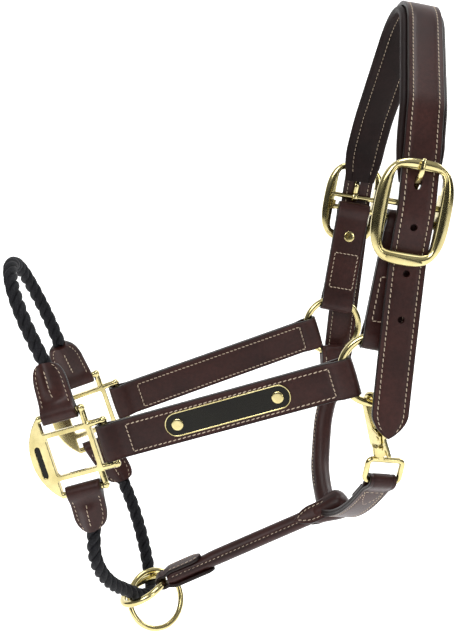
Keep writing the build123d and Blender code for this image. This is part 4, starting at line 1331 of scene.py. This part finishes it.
def buckle_tongue(side_name, mirror_it):
    """The tongue: an eye round the pin, a bend through the strap and a tapered tip on the top bar."""
    route = [head(96.1, -122.6), head(94.6, -114.5), head(104.4, -106.0), head(104.4, -97.2)]
    path = even(rounded(route, [4.0, 5.5], 0.5), 0.7)
    total = length_of(path)
    sections = []
    for i in range(len(path)):
        part = i / (len(path) - 1)
        tip = sqrt(max(0.02, 1 - max(0.0, (part * total - (total - 1.8)) / 1.8) ** 2))
        sections.append(oval((2.0 - 0.45 * blend(part, 0.3, 0.9)) * tip,
                             (1.55 - 0.25 * blend(part, 0.3, 1.0)) * tip, 2.6, 20))
    tongue = ribbon(side_name + "_cast_tongue", path, ACROSS, sections, BRASS)
    pin = head(95.5, BUCKLE_PIN)
    outline = [(1.98, -2.0), (3.3, -2.0), (3.6, -1.7), (3.6, 1.7), (3.3, 2.0), (1.98, 2.0)]
    points = [pin + ACROSS * height + (HEAD_UP * c + SIDE * s) * radius
              for radius, height in outline for c, s in circle(28)]
    join(tongue, (points, skin(len(outline), 28, closed=True)))
    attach(tongue, side_name + "_tongue")
    if mirror_it:
        swap_to_far(tongue)
    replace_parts(tongue, side_name + "_buckle_tongue")


PLATE_FROM = 55.0
PLATE_TO = 139.5
PLATE_WIDTH = 16.0
PLATE_RIVET_IN = 8.5


def name_plate():
    """The plain plate: brass edge, dark lacquered face, two flat-headed rivets."""
    middle = (PLATE_FROM + PLATE_TO) / 2
    run = (PLATE_TO - PLATE_FROM - PLATE_WIDTH) / 2
    rings = [(0.0, 0.0), (0.0, 0.72), (0.12, 0.93), (0.3, 1.0), (0.62, 1.0), (0.75, 0.86), (1.1, 0.86)]
    outline = [(run, a) for a in range(-90, 91, 9)] + [(-run, a) for a in range(90, 271, 9)]
    points = []
    for inset, height in rings:
        radius = PLATE_WIDTH / 2 - inset
        points += [cheek(middle + shift + radius * cos(radians(angle)), radius * sin(radians(angle)),
                         PLY + height) for shift, angle in outline]
    plate = make("lacquered_name_plate", points, skin(len(rings), len(outline)), BRASS)
    plate.data.materials.append(LACQUER_AND_PAINTED_SHADE)
    polygons = list(plate.data.polygons)
    for polygon in polygons[-2 - len(outline):-2] + polygons[-1:]:       # the innermost ring and the face
        polygon.material_index = 1
    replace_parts(plate, "name_plate")
    outline = [(0.01, 1.95), (2.0, 1.95), (3.2, 1.93), (3.6, 1.85), (3.9, 1.55), (4.0, 1.2), (4.0, 0.85)]
    for number, reach in ((1, PLATE_FROM + PLATE_RIVET_IN), (2, PLATE_TO - PLATE_RIVET_IN)):
        rivet = turned("flat_plate_rivet_" + str(number), cheek(reach, 0, PLY), OUTWARD, outline, around=36)
        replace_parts(rivet, "name_plate_rivets")


def square_painted_shade(side_name, mirror_it):
    """A dark sheet laid in the sunk panel of a halter square's front plate: painted shade in the recess."""
    outline = slot_outline(1.6, 9.0)
    points = [cheek(SQUARE_REACH + 22 - x, y - 1.5, height) for height in (1.0, 1.8) for x, y in outline]
    # painted shade: a dark lacquer sheet just under the front face darkens the sunk panel
    painted_shade = make(side_name + "_square_painted_shade", points, skin(2, len(outline)), LACQUER_AND_PAINTED_SHADE)
    if mirror_it:
        swap_to_far(painted_shade)


CAST_GRAIN = 0.32


def cast(node):
    """Softens the edges of a cast fitting."""
    obj = frame["nodes"][node]
    remesh = obj.modifiers.new("cast", "REMESH")
    remesh.mode = "VOXEL"
    remesh.voxel_size = CAST_GRAIN * MM
    remesh.use_smooth_shade = True
    smooth = obj.modifiers.new("polish", "SMOOTH")
    smooth.iterations = 6
    smooth.factor = 0.5


# ------------------------------------------------------------------ everything together
def finish_metal():
    """Gives the carried-over fittings their finish."""
    slots = {part["node"]: part["material_slot"] for part in frame["record"]["subparts"]}
    for node in sorted(node for node, slot in slots.items() if slot in ("polished_brass", "spring_steel")):
        obj = frame["nodes"][node]
        obj.data.materials.clear()
        obj.data.materials.append(STEEL if node == "snap_spring" else BRASS)


make_camera()
make_stage()
make_ropes()
finish_metal()
for each_side in (("near", False), ("far", True)):
    for build in (cheek_strap, billet, buckle_frame, buckle_tongue, square_painted_shade):
        build(*each_side)
name_plate()
make_tabs()
crown_path, crown_outs = crown_strap()
crown_pad(crown_path, crown_outs)
chin_strap()
chin_wrap()
throat_strap()
throat_top()
for node in ("near_halter_square", "far_halter_square", "snap_body", "snap_gate", "snap_eye"):
    cast(node)
